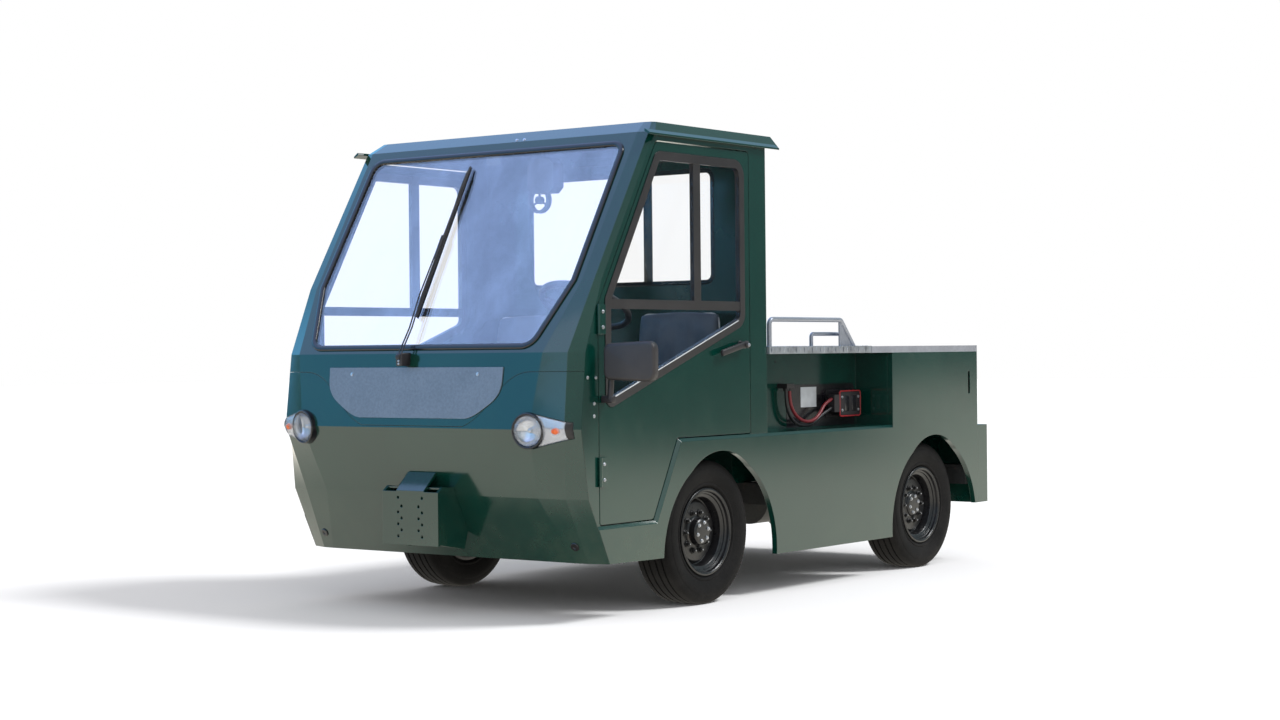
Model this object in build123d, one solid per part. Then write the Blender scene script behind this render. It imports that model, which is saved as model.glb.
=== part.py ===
"""Electric airport baggage tug with a closed two-door cab.

Millimetres. x runs across the tug and is positive on the driver's left, y is the station measured
back from the front axle, and z is the height above the ground. The origin is on the ground,
on the centreline, under the front axle.
"""
import os
from math import cos, hypot, radians, sin, tan

from build123d import *

os.makedirs("parts", exist_ok=True)

# ---------------------------------------------------------------- driving sizes
wheel_base = 1905
skirt_half = 838          # outside of the skirts
skirt_proud = 13
cab_half = skirt_half - skirt_proud       # outside of the doors and cab sides
sheet = 4                 # sheet steel of cab and body
fit = 5                   # gap round doors and covers
rest = 0.5                # gap under a closed cover

tyre_radius = 316
tyre_width = 190
tyre_sides = 72
wheel_x = skirt_half - 148                # middle plane of each tyre
rim_radius = 192          # outside of the rim's flange
bead_seat = 178           # where the tyre sits on the rim
bead_half = 73            # half the width between the flanges
hub_radius = 62
hub_back = -16            # inner end of the hub, from the tyre's middle plane

sill_z = 400              # bottom of the doors
ledge_z = 735             # top of the skirts
skirt_z = 185             # bottom of the skirts between the wheels
front_skirt_z = 232
tail_z = 300              # bottom of the body behind the rear wheels
deck_z = 1090             # top of the rear body, under the covers
cover_thick = 34
cab_top = 2030            # where the roof sits on the cab
roof_rise = 50
roof_top = cab_top + roof_rise
cab_back = 409
body_back = wheel_base + 486
bumper_back = body_back + 105
box_front = body_back - 880               # front of the rear box, behind the side recesses
recess_x = cab_half - 195                 # back of the side recesses
tub_x = cab_half - 13

# Folds of the cab's front, from its bottom edge up. Columns: height, station of the flat front,
# half width of the flat front, half width and station of the corner fold, half width and station of the side.
front_folds = [
    (243, -822, cab_half - 135, cab_half - 73, -816, skirt_half, -784),     # bottom edge
    (513, -950, cab_half - 225, cab_half - 89, -940, skirt_half - 5, -915),     # knee
    (797, -1056, cab_half - 185, cab_half - 37, -1012, cab_half, -948),   # under the lamps
    (1108, -1022, cab_half - 137, cab_half - 42, -978, cab_half, -915),   # foot of the windscreen
    (1400, -846, cab_half - 71, cab_half - 19, -832, cab_half, -805),    # widest line of the windscreen
    (cab_top, -467, cab_half - 63, cab_half - 17, -450, cab_half, -425),    # under the roof
]
side_line = [(row[6], row[0]) for row in front_folds]     # front edge of the cab's sides, (station, height)
sill_front_z = sill_z
rise = (sill_front_z - front_folds[0][0]) / (front_folds[1][0] - front_folds[0][0])
sill_front = (front_folds[0][6] + rise * (front_folds[1][6] - front_folds[0][6]), sill_front_z)
sill_back, ledge_front = -463, -286       # the sill climbs over the wheel between these stations
climb = (ledge_front - sill_back) / (ledge_z - sill_z)
climb_gap = fit * (hypot(1, climb) - climb)
screen_foot, screen_head = front_folds[3], front_folds[5]


# ---------------------------------------------------------------- helpers
def save(name, piece):
    export_step(piece, f"parts/{name}.step")


def box(x, y, z):
    """A block from its (low, high) along each axis."""
    return Pos(sum(x) / 2, sum(y) / 2, sum(z) / 2) * Box(x[1] - x[0], y[1] - y[0], z[1] - z[0])


def outline(points):
    """A closed flat face. Each point is (across, up) or (across, up, corner radius)."""
    shape = make_face(Polyline(*[point[:2] for point in points], close=True))
    for across, up, radius in [point for point in points if len(point) == 3]:
        shape = fillet(shape.vertices().sort_by_distance(Vector(across, up, 0))[0], radius)
    return shape


def across(face, x_low, x_high):
    """Extrude a (station, height) face across the tug."""
    return extrude(Plane.YZ.offset(x_low) * face, x_high - x_low)


def along(face, y_front, y_back):
    """Extrude an (x, height) face along the tug."""
    return extrude(Plane.XZ.offset(-y_back) * face, y_back - y_front)


def both_sides(name, piece, places=("left", "right")):
    """Save a piece of the left side and its mirror image."""
    save(f"{name}_{places[0]}", piece)
    save(f"{name}_{places[1]}", mirror(piece, Plane.YZ))


def tube(points, radius, bend):
    """A round bar along a bent line."""
    path = FilletPolyline(*points, radius=bend)
    return sweep(Plane(origin=path @ 0, z_dir=path % 0) * Circle(radius), path=path)


def front_solid(inset):
    """The cab's front as one folded block, its surface moved inwards by the inset."""
    back = cab_back
    sections = []
    for height, front, flat, corner_x, corner_y, side_x, side_y in front_folds:
        half = [
            (flat - inset * 0.2, front + inset),
            (corner_x - inset * 0.6, corner_y + inset * 0.8),
            (side_x - inset, side_y + inset * 0.4),
            (side_x - inset, back),
        ]
        points = half + [(-x, y) for x, y in reversed(half)]
        sections.append(Plane.XY.offset(height) * make_face(Polyline(*points, close=True)))
    return loft(sections, ruled=True)


# ---------------------------------------------------------------- wheels
def turned(profile, sides):
    """A light turning about the x axis with flat facets, from (x, radius) points."""
    def at(point, step):
        turn = radians(360 * step / sides)
        return Vector(point[0], point[1] * cos(turn), point[1] * sin(turn))
    facets = []
    for one, two in zip(profile, profile[1:] + profile[:1]):
        for step in range(sides):
            corners = [at(one, step), at(one, step + 1), at(two, step + 1), at(two, step)]
            facets.append(Face(Wire.make_polygon(corners, close=True)))
    return Solid(Shell(facets))


def tyre(x_sign, station):
    half = tyre_width / 2
    one_side = [(half - 24, tyre_radius), (half, tyre_radius - 52), (bead_half - 0.2, rim_radius + 4), (bead_half - 0.2, bead_seat + 0.8)]
    profile = one_side + [(-x, radius) for x, radius in reversed(one_side)]
    return Pos(x_sign * wheel_x, station, tyre_radius) * turned(profile, tyre_sides)


def rim(x_sign, station, steered):
    """Split rim with its disc and hub. The profile is (radius, distance outwards from the middle plane)."""
    well, disc, gauge, flange = bead_seat - 22, 24, 6, 9
    face = 62 if steered else 40          # how far the hub's end stands out
    profile = outline([
        (0, hub_back), (hub_radius, hub_back), (hub_radius, disc - 12), (126, disc - 12), (142, disc - 40),
        (well - gauge, disc - 40), (bead_seat - gauge, -bead_half - flange), (rim_radius, -bead_half - flange),
        (rim_radius, -bead_half), (bead_seat, -bead_half), (well, -bead_half + 30), (well, bead_half - 30),
        (bead_seat, bead_half), (rim_radius, bead_half), (rim_radius, bead_half + flange),
        (bead_seat - gauge, bead_half + flange), (well - gauge, disc - 26), (148, disc - 26), (132, disc),
        (hub_radius, disc), (hub_radius - 4, face), (0, face),
    ])
    return Pos(x_sign * wheel_x, station, tyre_radius) * Rot(0, 90 * x_sign, 0) * revolve(Plane.XZ * profile, Axis.Z)


for row, station, steered in (("front", 0, True), ("rear", wheel_base, False)):
    for hand, x_sign in (("left", 1), ("right", -1)):
        save(f"tyre_{row}_{hand}", tyre(x_sign, station))
        save(f"wheel_{row}_{hand}", rim(x_sign, station, steered))

# ---------------------------------------------------------------- axles, knuckles and steering
kingpin_x = wheel_x - 145
kingpin_radius = 15
boss_radius = 34
boss_half = 50            # half the height of the axle's boss
lug_thick = 22
running = 0.05
spring_x = (300, 370)
rail_z = (400, 500)
spindle_end = wheel_x + hub_back - 0.5
arm_back = 165            # steering arm's ball behind the kingpin
arm_z = tyre_radius - boss_half - 11

beam = box((-kingpin_x, kingpin_x), (-34, 34), (tyre_radius - 40, tyre_radius + 34))
web_half = kingpin_x - 65
beam -= box((-web_half, web_half), (-35, -9), (tyre_radius - 24, tyre_radius + 18))
beam -= box((-web_half, web_half), (9, 35), (tyre_radius - 24, tyre_radius + 18))
for x_sign in (-1, 1):
    at = Pos(x_sign * kingpin_x, 0, tyre_radius)
    beam = beam - at * Cylinder(boss_radius + 2, 200) + at * Cylinder(boss_radius, 2 * boss_half) \
        + box(sorted((x_sign * web_half, x_sign * (kingpin_x - boss_radius + 6))), (-26, 26), (tyre_radius - 30, tyre_radius + 30))
    beam -= at * Cylinder(kingpin_radius + running, 200)
    beam += box(sorted((x_sign * spring_x[0], x_sign * spring_x[1])), (-60, 60), (tyre_radius + 34, rail_z[0]))
save("front_axle", beam)


def knuckle():
    """Left steering knuckle: two lugs round the axle's boss, the kingpin, the spindle and the steering arm."""
    lug_low = tyre_radius - boss_half - lug_thick
    lug_high = tyre_radius + boss_half
    piece = Pos(kingpin_x, 0, tyre_radius) * Cylinder(kingpin_radius, 2 * (boss_half + lug_thick))
    for low in (lug_low - 0.3, lug_high + 0.3):
        piece += Pos(kingpin_x, 0, low + lug_thick / 2) * Cylinder(boss_radius, lug_thick)
        piece += box((kingpin_x, kingpin_x + 62), (-26, 26), (low, low + lug_thick))
    piece += box((kingpin_x + boss_radius + 6, kingpin_x + 62), (-36, 36), (lug_low, lug_high + lug_thick))
    piece += Pos((kingpin_x + 50 + spindle_end) / 2, 0, tyre_radius) * Rot(0, 90, 0) * Cylinder(24, spindle_end - kingpin_x - 50)
    arm = outline([(kingpin_x - 20, -10), (kingpin_x + 20, -10), (kingpin_x + 16, arm_back + 16, 12), (kingpin_x - 16, arm_back + 16, 12)])
    piece += extrude(Plane.XY.offset(lug_low - 0.3) * arm, lug_thick - 8)
    return piece - Pos(kingpin_x, arm_back, arm_z) * Cylinder(6 + running, 80)


both_sides("knuckle", knuckle())

rod_z = arm_z - 34
rod_half = kingpin_x
tie_rod = Pos(0, arm_back, rod_z) * Rot(0, 90, 0) * Cylinder(11, 2 * rod_half)
for x_sign in (-1, 1):
    tie_rod += Pos(x_sign * rod_half, arm_back, rod_z) * Cylinder(17, 26)
    tie_rod += Pos(x_sign * rod_half, arm_back, rod_z + 22) * Cylinder(6, 44)
save("tie_rod", tie_rod)

axle_half, axle_tube = wheel_x - 130, 48
axle_end = wheel_x + hub_back - 0.5
housing = outline([
    (0, -axle_end), (30, -axle_end), (30, -axle_half), (axle_tube, -axle_half), (axle_tube, -190), (150, -90),
    (150, 90), (axle_tube, 190), (axle_tube, axle_half), (30, axle_half), (30, axle_end), (0, axle_end),
])
rear_axle = Pos(0, wheel_base, tyre_radius) * Rot(0, 90, 0) * revolve(Plane.XZ * housing, Axis.Z)
for x_sign in (-1, 1):
    rear_axle += box(sorted((x_sign * spring_x[0], x_sign * spring_x[1])), (wheel_base - 70, wheel_base + 70), (tyre_radius + 30, rail_z[0]))
rear_axle += Pos(0, wheel_base - 260, tyre_radius + 20) * Rot(90, 0, 0) * Cylinder(120, 330)     # drive motor
save("rear_axle", rear_axle)

# ---------------------------------------------------------------- chassis
rail_front, rail_back = -880, body_back - sheet
chassis = Part()
for x_sign in (-1, 1):
    chassis += box(sorted((x_sign * spring_x[0], x_sign * spring_x[1])), (rail_front, rail_back), rail_z)
# Cross members. Columns: station, half length, width along the tug
cross_members = ((-840, tub_x - 172, 70), (-430, spring_x[0], 60), (cab_back + 131, tub_x, 60),
                 (box_front - 211, tub_x, 60), (body_back - 61, tub_x, 60))
for station, half, width in cross_members:
    chassis += box((-half, half), (station - width / 2, station + width / 2), rail_z)
save("chassis_frame", chassis)

# ---------------------------------------------------------------- cab front and nose
front_shell = front_solid(0) - front_solid(sheet)
front_shell -= across(outline(side_line + [(600, cab_top), (600, front_folds[0][0])]), -skirt_half - 60, skirt_half + 60)

screen_lean = (screen_head[1] - screen_foot[1]) / (screen_head[0] - screen_foot[0])
screen_scale = hypot(1, screen_lean)
screen_plane = Plane(origin=(0, screen_foot[1], screen_foot[0]), x_dir=(1, 0, 0), z_dir=(0, -1, screen_lean))


def on_screen(rows, inset=0):
    """A face on the windscreen's plane from (x, height, corner radius) rows."""
    face = outline([(x, (z - screen_foot[0]) * screen_scale, r) for x, z, r in rows])
    return offset(face, -inset) if inset else face


screen_low_half, screen_half, screen_top = cab_half - 198, cab_half - 97, cab_top - 34
screen_rows = [(-screen_low_half, 1122, 85), (screen_low_half, 1122, 85), (screen_half, 1400, 40),
               (screen_half, screen_top, 70), (-screen_half, screen_top, 70), (-screen_half, 1400, 40)]
gasket_width = 26
front_shell -= extrude(screen_plane * on_screen(screen_rows, 10), 60, both=True)
gasket = extrude(screen_plane * on_screen(screen_rows), 9) - extrude(screen_plane * on_screen(screen_rows, gasket_width), 9)
gasket += extrude(screen_plane * (on_screen(screen_rows, 10.2) - on_screen(screen_rows, 16)), -8)
save("windscreen_gasket", gasket)
save("windscreen_glass", extrude(screen_plane * on_screen(screen_rows, 16.2), -6))

# Seam between the cab and the nose panel, rising in an S from under the plate to the corners
seam_low, seam_high = 806, 1031
seam_curve_in, seam_curve_out = 285, cab_half - 185


def seam_face(drop):
    right = Spline((seam_curve_in, seam_low - drop), (490, 972 - drop), (seam_curve_out, seam_high - drop), tangents=((1, 0.35), (1, 0)))
    left = mirror(right, Plane.YZ)
    low, wide = 200, 900
    rest = Polyline((seam_curve_out, seam_high - drop), (wide, seam_high - drop), (wide, low), (-wide, low),
                    (-wide, seam_high - drop), (-seam_curve_out, seam_high - drop))
    return make_face([right, left, rest, Line((-seam_curve_in, seam_low - drop), (seam_curve_in, seam_low - drop))])


nose = front_shell & along(seam_face(1.5), -1300, 0)
cab_front = front_shell - along(seam_face(0), -1300, 0)

lamp_x, lamp_z, lamp_radius = cab_half - 191, 793, 73
lamp_tip_x, lamp_tip_half = cab_half - 19, 32


def lamp_face(grow):
    round_part = Pos(lamp_x, lamp_z) * Circle(lamp_radius + grow)
    wing = make_face(Polyline((lamp_x, lamp_z + lamp_radius + grow), (lamp_tip_x + grow, lamp_z + lamp_tip_half + grow),
                              (lamp_tip_x + grow, lamp_z - lamp_tip_half - grow), (lamp_x, lamp_z - lamp_radius - grow), close=True))
    return round_part + wing


lamp_zone = along(lamp_face(0), -1200, -900)
headlamp = (front_solid(-14) - front_solid(40)) & lamp_zone
lamp_hole = along(lamp_face(1), -1300, -850)
nose -= lamp_hole + mirror(lamp_hole, Plane.YZ)
both_sides("headlamp", headlamp)

plate_proud = 5
side = Spline((488, 990), (404, 884), (300, 838), tangents=((-0.1, -1), (-1, -0.15)))
plate_face = make_face([side, mirror(side, Plane.YZ), Line((300, 838), (-300, 838)),
                        Polyline((488, 990), (490, 1050), (-490, 1050), (-488, 990))])
save("nose_plate", (front_solid(-plate_proud) - front_solid(0)) & along(plate_face, -1300, -900))

# wiper: foot on the nose, arm and blade over the glass
wiper_out = 30


def screen_point(x, z, out):
    """A point over the windscreen's plane."""
    return screen_plane.from_local_coords((x, (z - screen_foot[0]) * screen_scale, out))


def bar(start, end, width, height):
    """A flat bar between two points."""
    start, end = Vector(*start), Vector(*end)
    middle = (start + end) / 2
    return Plane(origin=middle, x_dir=Vector(1, 0, 0), z_dir=end - start) * Box(width, height, (end - start).length)


foot_z = 1085
foot = Pos(-42, -1048, foot_z) * Rot(90, 0, 0) * Cylinder(17, 70) - front_solid(0)
wiper = foot + bar((-42, -1066, foot_z), screen_point(-66, 1330, wiper_out), 17, 10)
wiper += bar(screen_point(-66, 1330, wiper_out), screen_point(-82, 1590, wiper_out - 4), 10, 8)
wiper += bar(screen_point(-59, 1255, wiper_out - 14), screen_point(-97, 1920, wiper_out - 14), 9, 18)
save("wiper", wiper)

save("cab_front", cab_front)

# ---------------------------------------------------------------- front tow plate
tow_half, tow_low, tow_high = 157, 305, 530
tow_front, tow_thick = -1066, 12
tow_hole = 6.5
# Holes in the plate. Columns: half spacing across, heights
tow_rows = ((67.5, (342, 393, 443, 504)), (48, (368, 418, 468)))
tow = box((-tow_half, tow_half), (tow_front, tow_front + tow_thick), (tow_low, tow_high))
for half, heights in tow_rows:
    for height in heights:
        for x_sign in (-1, 1):
            tow -= Pos(x_sign * half, tow_front, height) * Rot(90, 0, 0) * Cylinder(tow_hole, 60)
cheek = outline([(tow_front + 2, tow_low + 6), (-900, tow_low - 22), (-860, 420), (-914, 487), (-969, 545), (tow_front + 30, 551), (tow_front + 2, tow_high)])
cheeks = across(cheek, tow_half - 12, tow_half) + across(cheek, -tow_half, 12 - tow_half)
lid_plate = box((-tow_half, tow_half), (tow_front + 26, -940), (540, 548))
hood = across(outline([(tow_front, tow_high - 8), (tow_front, tow_high + 4), (-990, 608), (-960, 600), (-985, 594)]), -77, 77)
tow_body = (cheeks + lid_plate + hood) - front_solid(-0.5)
tow_body += across(outline([(-884, 410), (-884, 490), (-880, 490), (-880, 410)]), -tow_half, tow_half)
tow_arms = across(outline([(tow_front + 8, 400), (rail_front + 1, 400), (rail_front + 1, 490), (tow_front + 8, 490)]), tow_half - 12, tow_half)
tow += tow_body + tow_arms + mirror(tow_arms, Plane.YZ)
arm_slot = across(outline([(-1000, 399.5), (-880, 399.5), (-880, 490.5), (-1000, 490.5)]), tow_half - 12.5, tow_half + 0.5)
nose -= arm_slot + mirror(arm_slot, Plane.YZ)
save("nose_panel", nose)
save("tow_plate", tow)

# ---------------------------------------------------------------- doors and cab sides
door_x = (cab_half - 26, cab_half)
hinge_y, hinge_x = -836, cab_half + 9
# Door: (station, height, corner radius), clockwise from its lower front corner
door_rows = [(-830, sill_z + fit, 10), (-830, 1300, 30), (-421, cab_top - 40, 30), (272, cab_top - 40, 20), (272, ledge_z + fit, 10),
             (ledge_front - climb_gap, ledge_z + fit, 20), (sill_back - climb_gap, sill_z + fit, 20)]
window_top = cab_top - 79
window_rows = [(-787, 866, 40), (-787, 1326, 40), (-423, window_top, 55), (233, window_top, 75), (233, 1224, 75)]
window_frame = 38
door_face = outline(door_rows)
door = across(door_face, *door_x) - across(offset(door_face, -sheet), door_x[0] - 1, door_x[1] - sheet)
door += across(offset(outline(window_rows), 12) - outline(window_rows), door_x[0] + 4, door_x[1] - 1)
door -= across(outline(window_rows), door_x[0] - 5, door_x[1] + 5)
handle_stem = box((cab_half - 1, cab_half + 26), (182, 206), (1120, 1144))
handle = handle_stem + Pos(cab_half + 30, 110, 1118) * Rot(12, 0, 0) * Box(14, 200, 22)
hinge_leaf = Part()
for low in (560, 1180):
    hinge_leaf += Pos(hinge_x, hinge_y, low + 60) * Cylinder(8, 120) + box((cab_half, hinge_x), (hinge_y, hinge_y + 44), (low, low + 120))
door += handle + hinge_leaf

frame_face = outline(window_rows)
frame = across(offset(frame_face, -0.3) - offset(frame_face, -window_frame), cab_half - 20, cab_half + 4)
window_inside = across(offset(frame_face, -20), cab_half - 18, cab_half + 2)
for bars in (box((cab_half - 20, cab_half + 4), (-900, 400), (1284, 1324)), box((cab_half - 20, cab_half + 4), (-156, -104), (1300, cab_top))):
    frame += bars & window_inside
glass = across(offset(frame_face, -window_frame - 0.2), cab_half - 10, cab_half - 5)
glass -= box((cab_half - 30, cab_half + 30), (-900, 400), (1284, 1324)) + box((cab_half - 30, cab_half + 30), (-156, -104), (1284, cab_top))

both_sides("door", door)
both_sides("door_window_frame", frame)
both_sides("door_glass", glass)

opening = offset(door_face, fit)
side_face = outline([sill_front] + side_line[1:] + [(cab_back, cab_top), (cab_back, ledge_z), (ledge_front, ledge_z), (sill_back, sill_z)])
side_wall = across(side_face, cab_half - sheet, cab_half)
side_wall += across((side_face & offset(opening, 22)) - opening, cab_half - 30, cab_half)
side_wall -= across(opening, cab_half - 60, cab_half + 10)
side_wall = side_wall.solids().sort_by(SortBy.VOLUME)[-1]
both_sides("cab_side", side_wall)

# mirror on the driver's door
mirror_z = (985, 1152)
head = Plane(origin=(cab_half + 150, -812, sum(mirror_z) / 2), x_dir=(1, 0.13, 0), z_dir=(0, 0, 1)) * Box(236, 46, mirror_z[1] - mirror_z[0])
head = fillet(head.edges().filter_by(Axis.Z), 20)
stalk = box((cab_half, cab_half + 50), (-818, -790), (904, 928)) + box((cab_half + 30, cab_half + 58), (-826, -798), (904, 1010))
save("door_mirror", head + stalk)

# ---------------------------------------------------------------- cab rear wall, roof, floor
rear_half, rear_low, rear_high = cab_half - 265, cab_top - 630, cab_top - 70
rear_window = outline([(-rear_half, rear_low, 60), (rear_half, rear_low, 60), (rear_half, rear_high, 60), (-rear_half, rear_high, 60)])
rear_wall = box((-cab_half + sheet, cab_half - sheet), (cab_back - 30, cab_back), (ledge_z, cab_top))
rear_wall -= box((-cab_half + 40, cab_half - 40), (cab_back - 31, cab_back - sheet), (ledge_z + 30, cab_top - 40))
rear_wall -= along(offset(rear_window, -12), 300, 500)
save("cab_rear", rear_wall)
save("rear_window_gasket", along(rear_window - offset(rear_window, -34), cab_back, cab_back + 8)
     + along(offset(rear_window, -12.2) - offset(rear_window, -18), cab_back - 10, cab_back + 1)
     + (along(outline([(140, rear_low), (190, rear_low), (190, rear_high), (140, rear_high)]) & offset(rear_window, -18), cab_back - 2, cab_back + 8)))
save("rear_window_glass", along(offset(rear_window, -18.2), cab_back - 10, cab_back - 5) - box((130, 200), (cab_back - 2, cab_back + 20), (rear_low - 100, cab_top)))

roof_back = 520


def roof_block(wall):
    """The roof from the cab's top line to its narrower top, drawn in by the wall."""
    _, front, flat, corner_x, corner_y, side_x, side_y = screen_head
    low = [(flat, front + wall), (corner_x - wall, corner_y + wall), (side_x - wall, side_y + wall), (side_x - wall, roof_back - wall)]
    half = cab_half - 43
    high = [(half - 42, -388 + wall), (half - 10 - wall, -380 + wall), (half - wall, -360 + wall), (half - wall, roof_back - wall)]
    faces = []
    for height, right in ((cab_top, low), (roof_top - wall, high)):
        points = right + [(-x, y) for x, y in reversed(right)]
        faces.append(Plane.XY.offset(height) * make_face(Polyline(*points, close=True)))
    return loft(faces, ruled=True)


roof = roof_block(0) - roof_block(sheet)
rail_face = outline([(cab_half - 2, cab_top - 2), (cab_half + 25, cab_top - 16), (cab_half + 25, cab_top - 8), (cab_half + 2, cab_top + 8), (cab_half - 2, cab_top + 8)])
rail = along(rail_face, -500, 490) - front_solid(0)
roof += rail + mirror(rail, Plane.YZ)
save("roof", roof)

floor_z = 508
floor_half = cab_half - 45
floor = box((-floor_half, floor_half), (-870, -420), (rail_z[1], floor_z))
riser = outline([(-424, rail_z[1]), (-404, rail_z[1]), (ledge_front, ledge_z - 8), (ledge_front, ledge_z), (ledge_front - 20, ledge_z)])
floor += across(riser, -floor_half, floor_half)
floor += box((-floor_half, floor_half), (-300, cab_back - 31), (ledge_z - 8, ledge_z))
seat_x, seat_half, seat_low = cab_half - 395, 228, 770
for x_sign in (-1, 1):                    # pedestals under the seats
    floor += box((x_sign * seat_x - 170, x_sign * seat_x + 170), (-160, 200), (ledge_z - 4, seat_low - 0.3))
save("cab_floor", floor)

# ---------------------------------------------------------------- dash, steering and seats
dash_face = outline([(-960, 1090, 10), (-800, 1112, 30), (-700, 1060, 40), (-690, 960, 20), (-760, 900, 20), (-790, 720, 20), (-800, floor_z), (-860, floor_z), (-930, 700), (-985, 800)])
dash = across(dash_face, 10 - floor_half, floor_half - 10) & front_solid(42)
save("dash", dash)

steer_centre = Vector(seat_x, -410, 1308)
steer_tilt = 28           # lean of the column from upright
steer_plane = Plane(origin=steer_centre, x_dir=(1, 0, 0), z_dir=(0, sin(radians(steer_tilt)), cos(radians(steer_tilt))))
steer_radius = 195
grip = [(steer_radius + 14 * cos(radians(a)), 14 * sin(radians(a))) for a in range(22, 382, 45)]
wheel_ring = revolve(Plane.XZ * outline(grip), Axis.Z)
spokes = Part()
for turn in (90, 210, 330):
    spokes += Rot(0, 0, turn) * Pos(steer_radius / 2, 0, -14) * Box(steer_radius - 8, 26, 10)
save("steering_wheel", steer_plane * (wheel_ring + spokes + Pos(0, 0, -18) * Cylinder(42, 40)))
column_length = 880
column = steer_plane * (Pos(0, 0, -38.5 - column_length / 2) * Cylinder(24, column_length) + Pos(0, 0, -130) * Cylinder(44, 150))
column_cut = front_solid(14)
over_floor = box((-900, 900), (-1000, 500), (floor_z, cab_top))
save("steering_column", (column & column_cut & over_floor) - dash)

seat_base = outline([(-250, 800, 40), (-250, 890, 40), (240, 860, 40), (240, seat_low, 30), (-200, seat_low, 30)])
seat_back = outline([(240.4, 795, 12), (240.4, 880), (252, 1290, 34), (330, 1290, 34), (318, 795, 30)])
back_face = outline([(-seat_half, 795, 40), (seat_half, 795, 40), (seat_half, 1290, 110), (-seat_half, 1290, 110)])
back_pad = across(seat_back, seat_x - seat_half, seat_x + seat_half) & along(Pos(seat_x, 0) * back_face, 100, 400)
both_sides("seat_cushion", across(seat_base, seat_x - seat_half, seat_x + seat_half))
both_sides("seat_back", back_pad)

# small cab fan under the roof's front: stem, motor housing, guard ring and spokes
fan_x, fan_y, fan_z, fan_radius = 150, -370, cab_top - 252, 58
housing_low, housing_high = fan_z + 28, fan_z + 180
stem_top = roof_top - sheet - 0.3         # just under the roof's sheet
fan = Pos(fan_x + 30, fan_y, (housing_high - 8 + stem_top) / 2) * Cylinder(11, stem_top - housing_high + 8)
housing = box((fan_x - 42, fan_x + 108), (fan_y - 34, fan_y + 34), (housing_low, housing_high))
fan += chamfer(housing.edges().filter_by(Axis.Y), 26)
fan += Pos(fan_x, fan_y, fan_z) * Rot(90, 0, 0) * (Cylinder(fan_radius, 26) - Cylinder(fan_radius - 12, 30) + Cylinder(17, 26))
for turn in (30, 150, 270):
    fan += Pos(fan_x, fan_y, fan_z) * Rot(0, turn, 0) * Pos(fan_radius / 2, 0, 0) * Box(fan_radius - 12, 8, 7)
save("cab_fan", fan)

# ---------------------------------------------------------------- body sides
def arch(station, grow=0):
    """Wheel arch: a flat crown and two falling sides."""
    crown_half, crown_z, top_z, foot_half, foot_z = 225 + grow, 590, 672 + grow, 425 + grow, skirt_z - 60
    crown = ThreePointArc((station - crown_half, crown_z), (station, top_z), (station + crown_half, crown_z))
    front = ThreePointArc((station - crown_half, crown_z), (station - (foot_half + crown_half) / 2 - 55, 430), (station - foot_half, foot_z))
    back = ThreePointArc((station + crown_half, crown_z), (station + (foot_half + crown_half) / 2 + 55, 430), (station + foot_half, foot_z))
    return make_face([crown, front, back, Line((station - foot_half, foot_z), (station + foot_half, foot_z))])


front_arch, rear_arch = 25, wheel_base + 28
side_rows = [
    (front_folds[0][6], front_folds[0][0]), sill_front, (sill_back, sill_z), (ledge_front, ledge_z), (box_front, ledge_z),
    (box_front, deck_z), (body_back, deck_z), (body_back, tail_z), (rear_arch, tail_z), (rear_arch, skirt_z),
    (front_arch, skirt_z), (front_arch, front_skirt_z),
]
ledge_lines = [(-662, 398), (-374, 567), ((ledge_front + box_front) / 2, ledge_z)]       # middles of the chamfered top edges


def pressing(rows, wall, x_out):
    face = outline(rows)
    if wall:
        face = offset(face, -wall)
    for station in (front_arch, rear_arch):
        face -= arch(station, wall)
    block = across(face, cab_half - 13, x_out)
    slope = skirt_half - cab_half - wall * 0.4
    edges = [edge for edge in block.edges().filter_by(GeomType.LINE)
             if abs(edge.center().X - x_out) < 0.1
             and any(hypot(edge.center().Y - y, edge.center().Z - z) < 60 for y, z in ledge_lines)]
    return chamfer(edges, slope)


panel = pressing(side_rows, 0, skirt_half) - pressing(side_rows, sheet, skirt_half - sheet)
slot_back = body_back - 79
slot_face = outline([(slot_back - 20, 872, 9), (slot_back, 872, 9), (slot_back, 990, 9), (slot_back - 20, 990, 9)])
panel -= across(slot_face, skirt_half - 60, skirt_half + 10)
both_sides("side_panel", panel)

# ---------------------------------------------------------------- rear body
tub = box((-recess_x, recess_x), (cab_back, box_front), (rail_z[1], deck_z)) \
    - box((-recess_x + sheet, recess_x - sheet), (cab_back + sheet, box_front - sheet), (rail_z[1] - 1, deck_z + 1))
tub += box((-tub_x, tub_x), (box_front - sheet, body_back), (ledge_z - sheet, deck_z)) \
    - box((-tub_x + sheet, tub_x - sheet), (box_front, body_back - sheet), (ledge_z, deck_z + 1))
tub += box((-tub_x, tub_x), (body_back - sheet, body_back), (tail_z, deck_z))
for x_sign in (-1, 1):
    tub += box(sorted((x_sign * recess_x, x_sign * tub_x)), (cab_back, box_front), (ledge_z - sheet, ledge_z))
save("rear_body", tub)
save("battery_block", box((70 - recess_x, recess_x - 70), (cab_back + 41, box_front - 51), (rail_z[1], deck_z - 30)))

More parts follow.
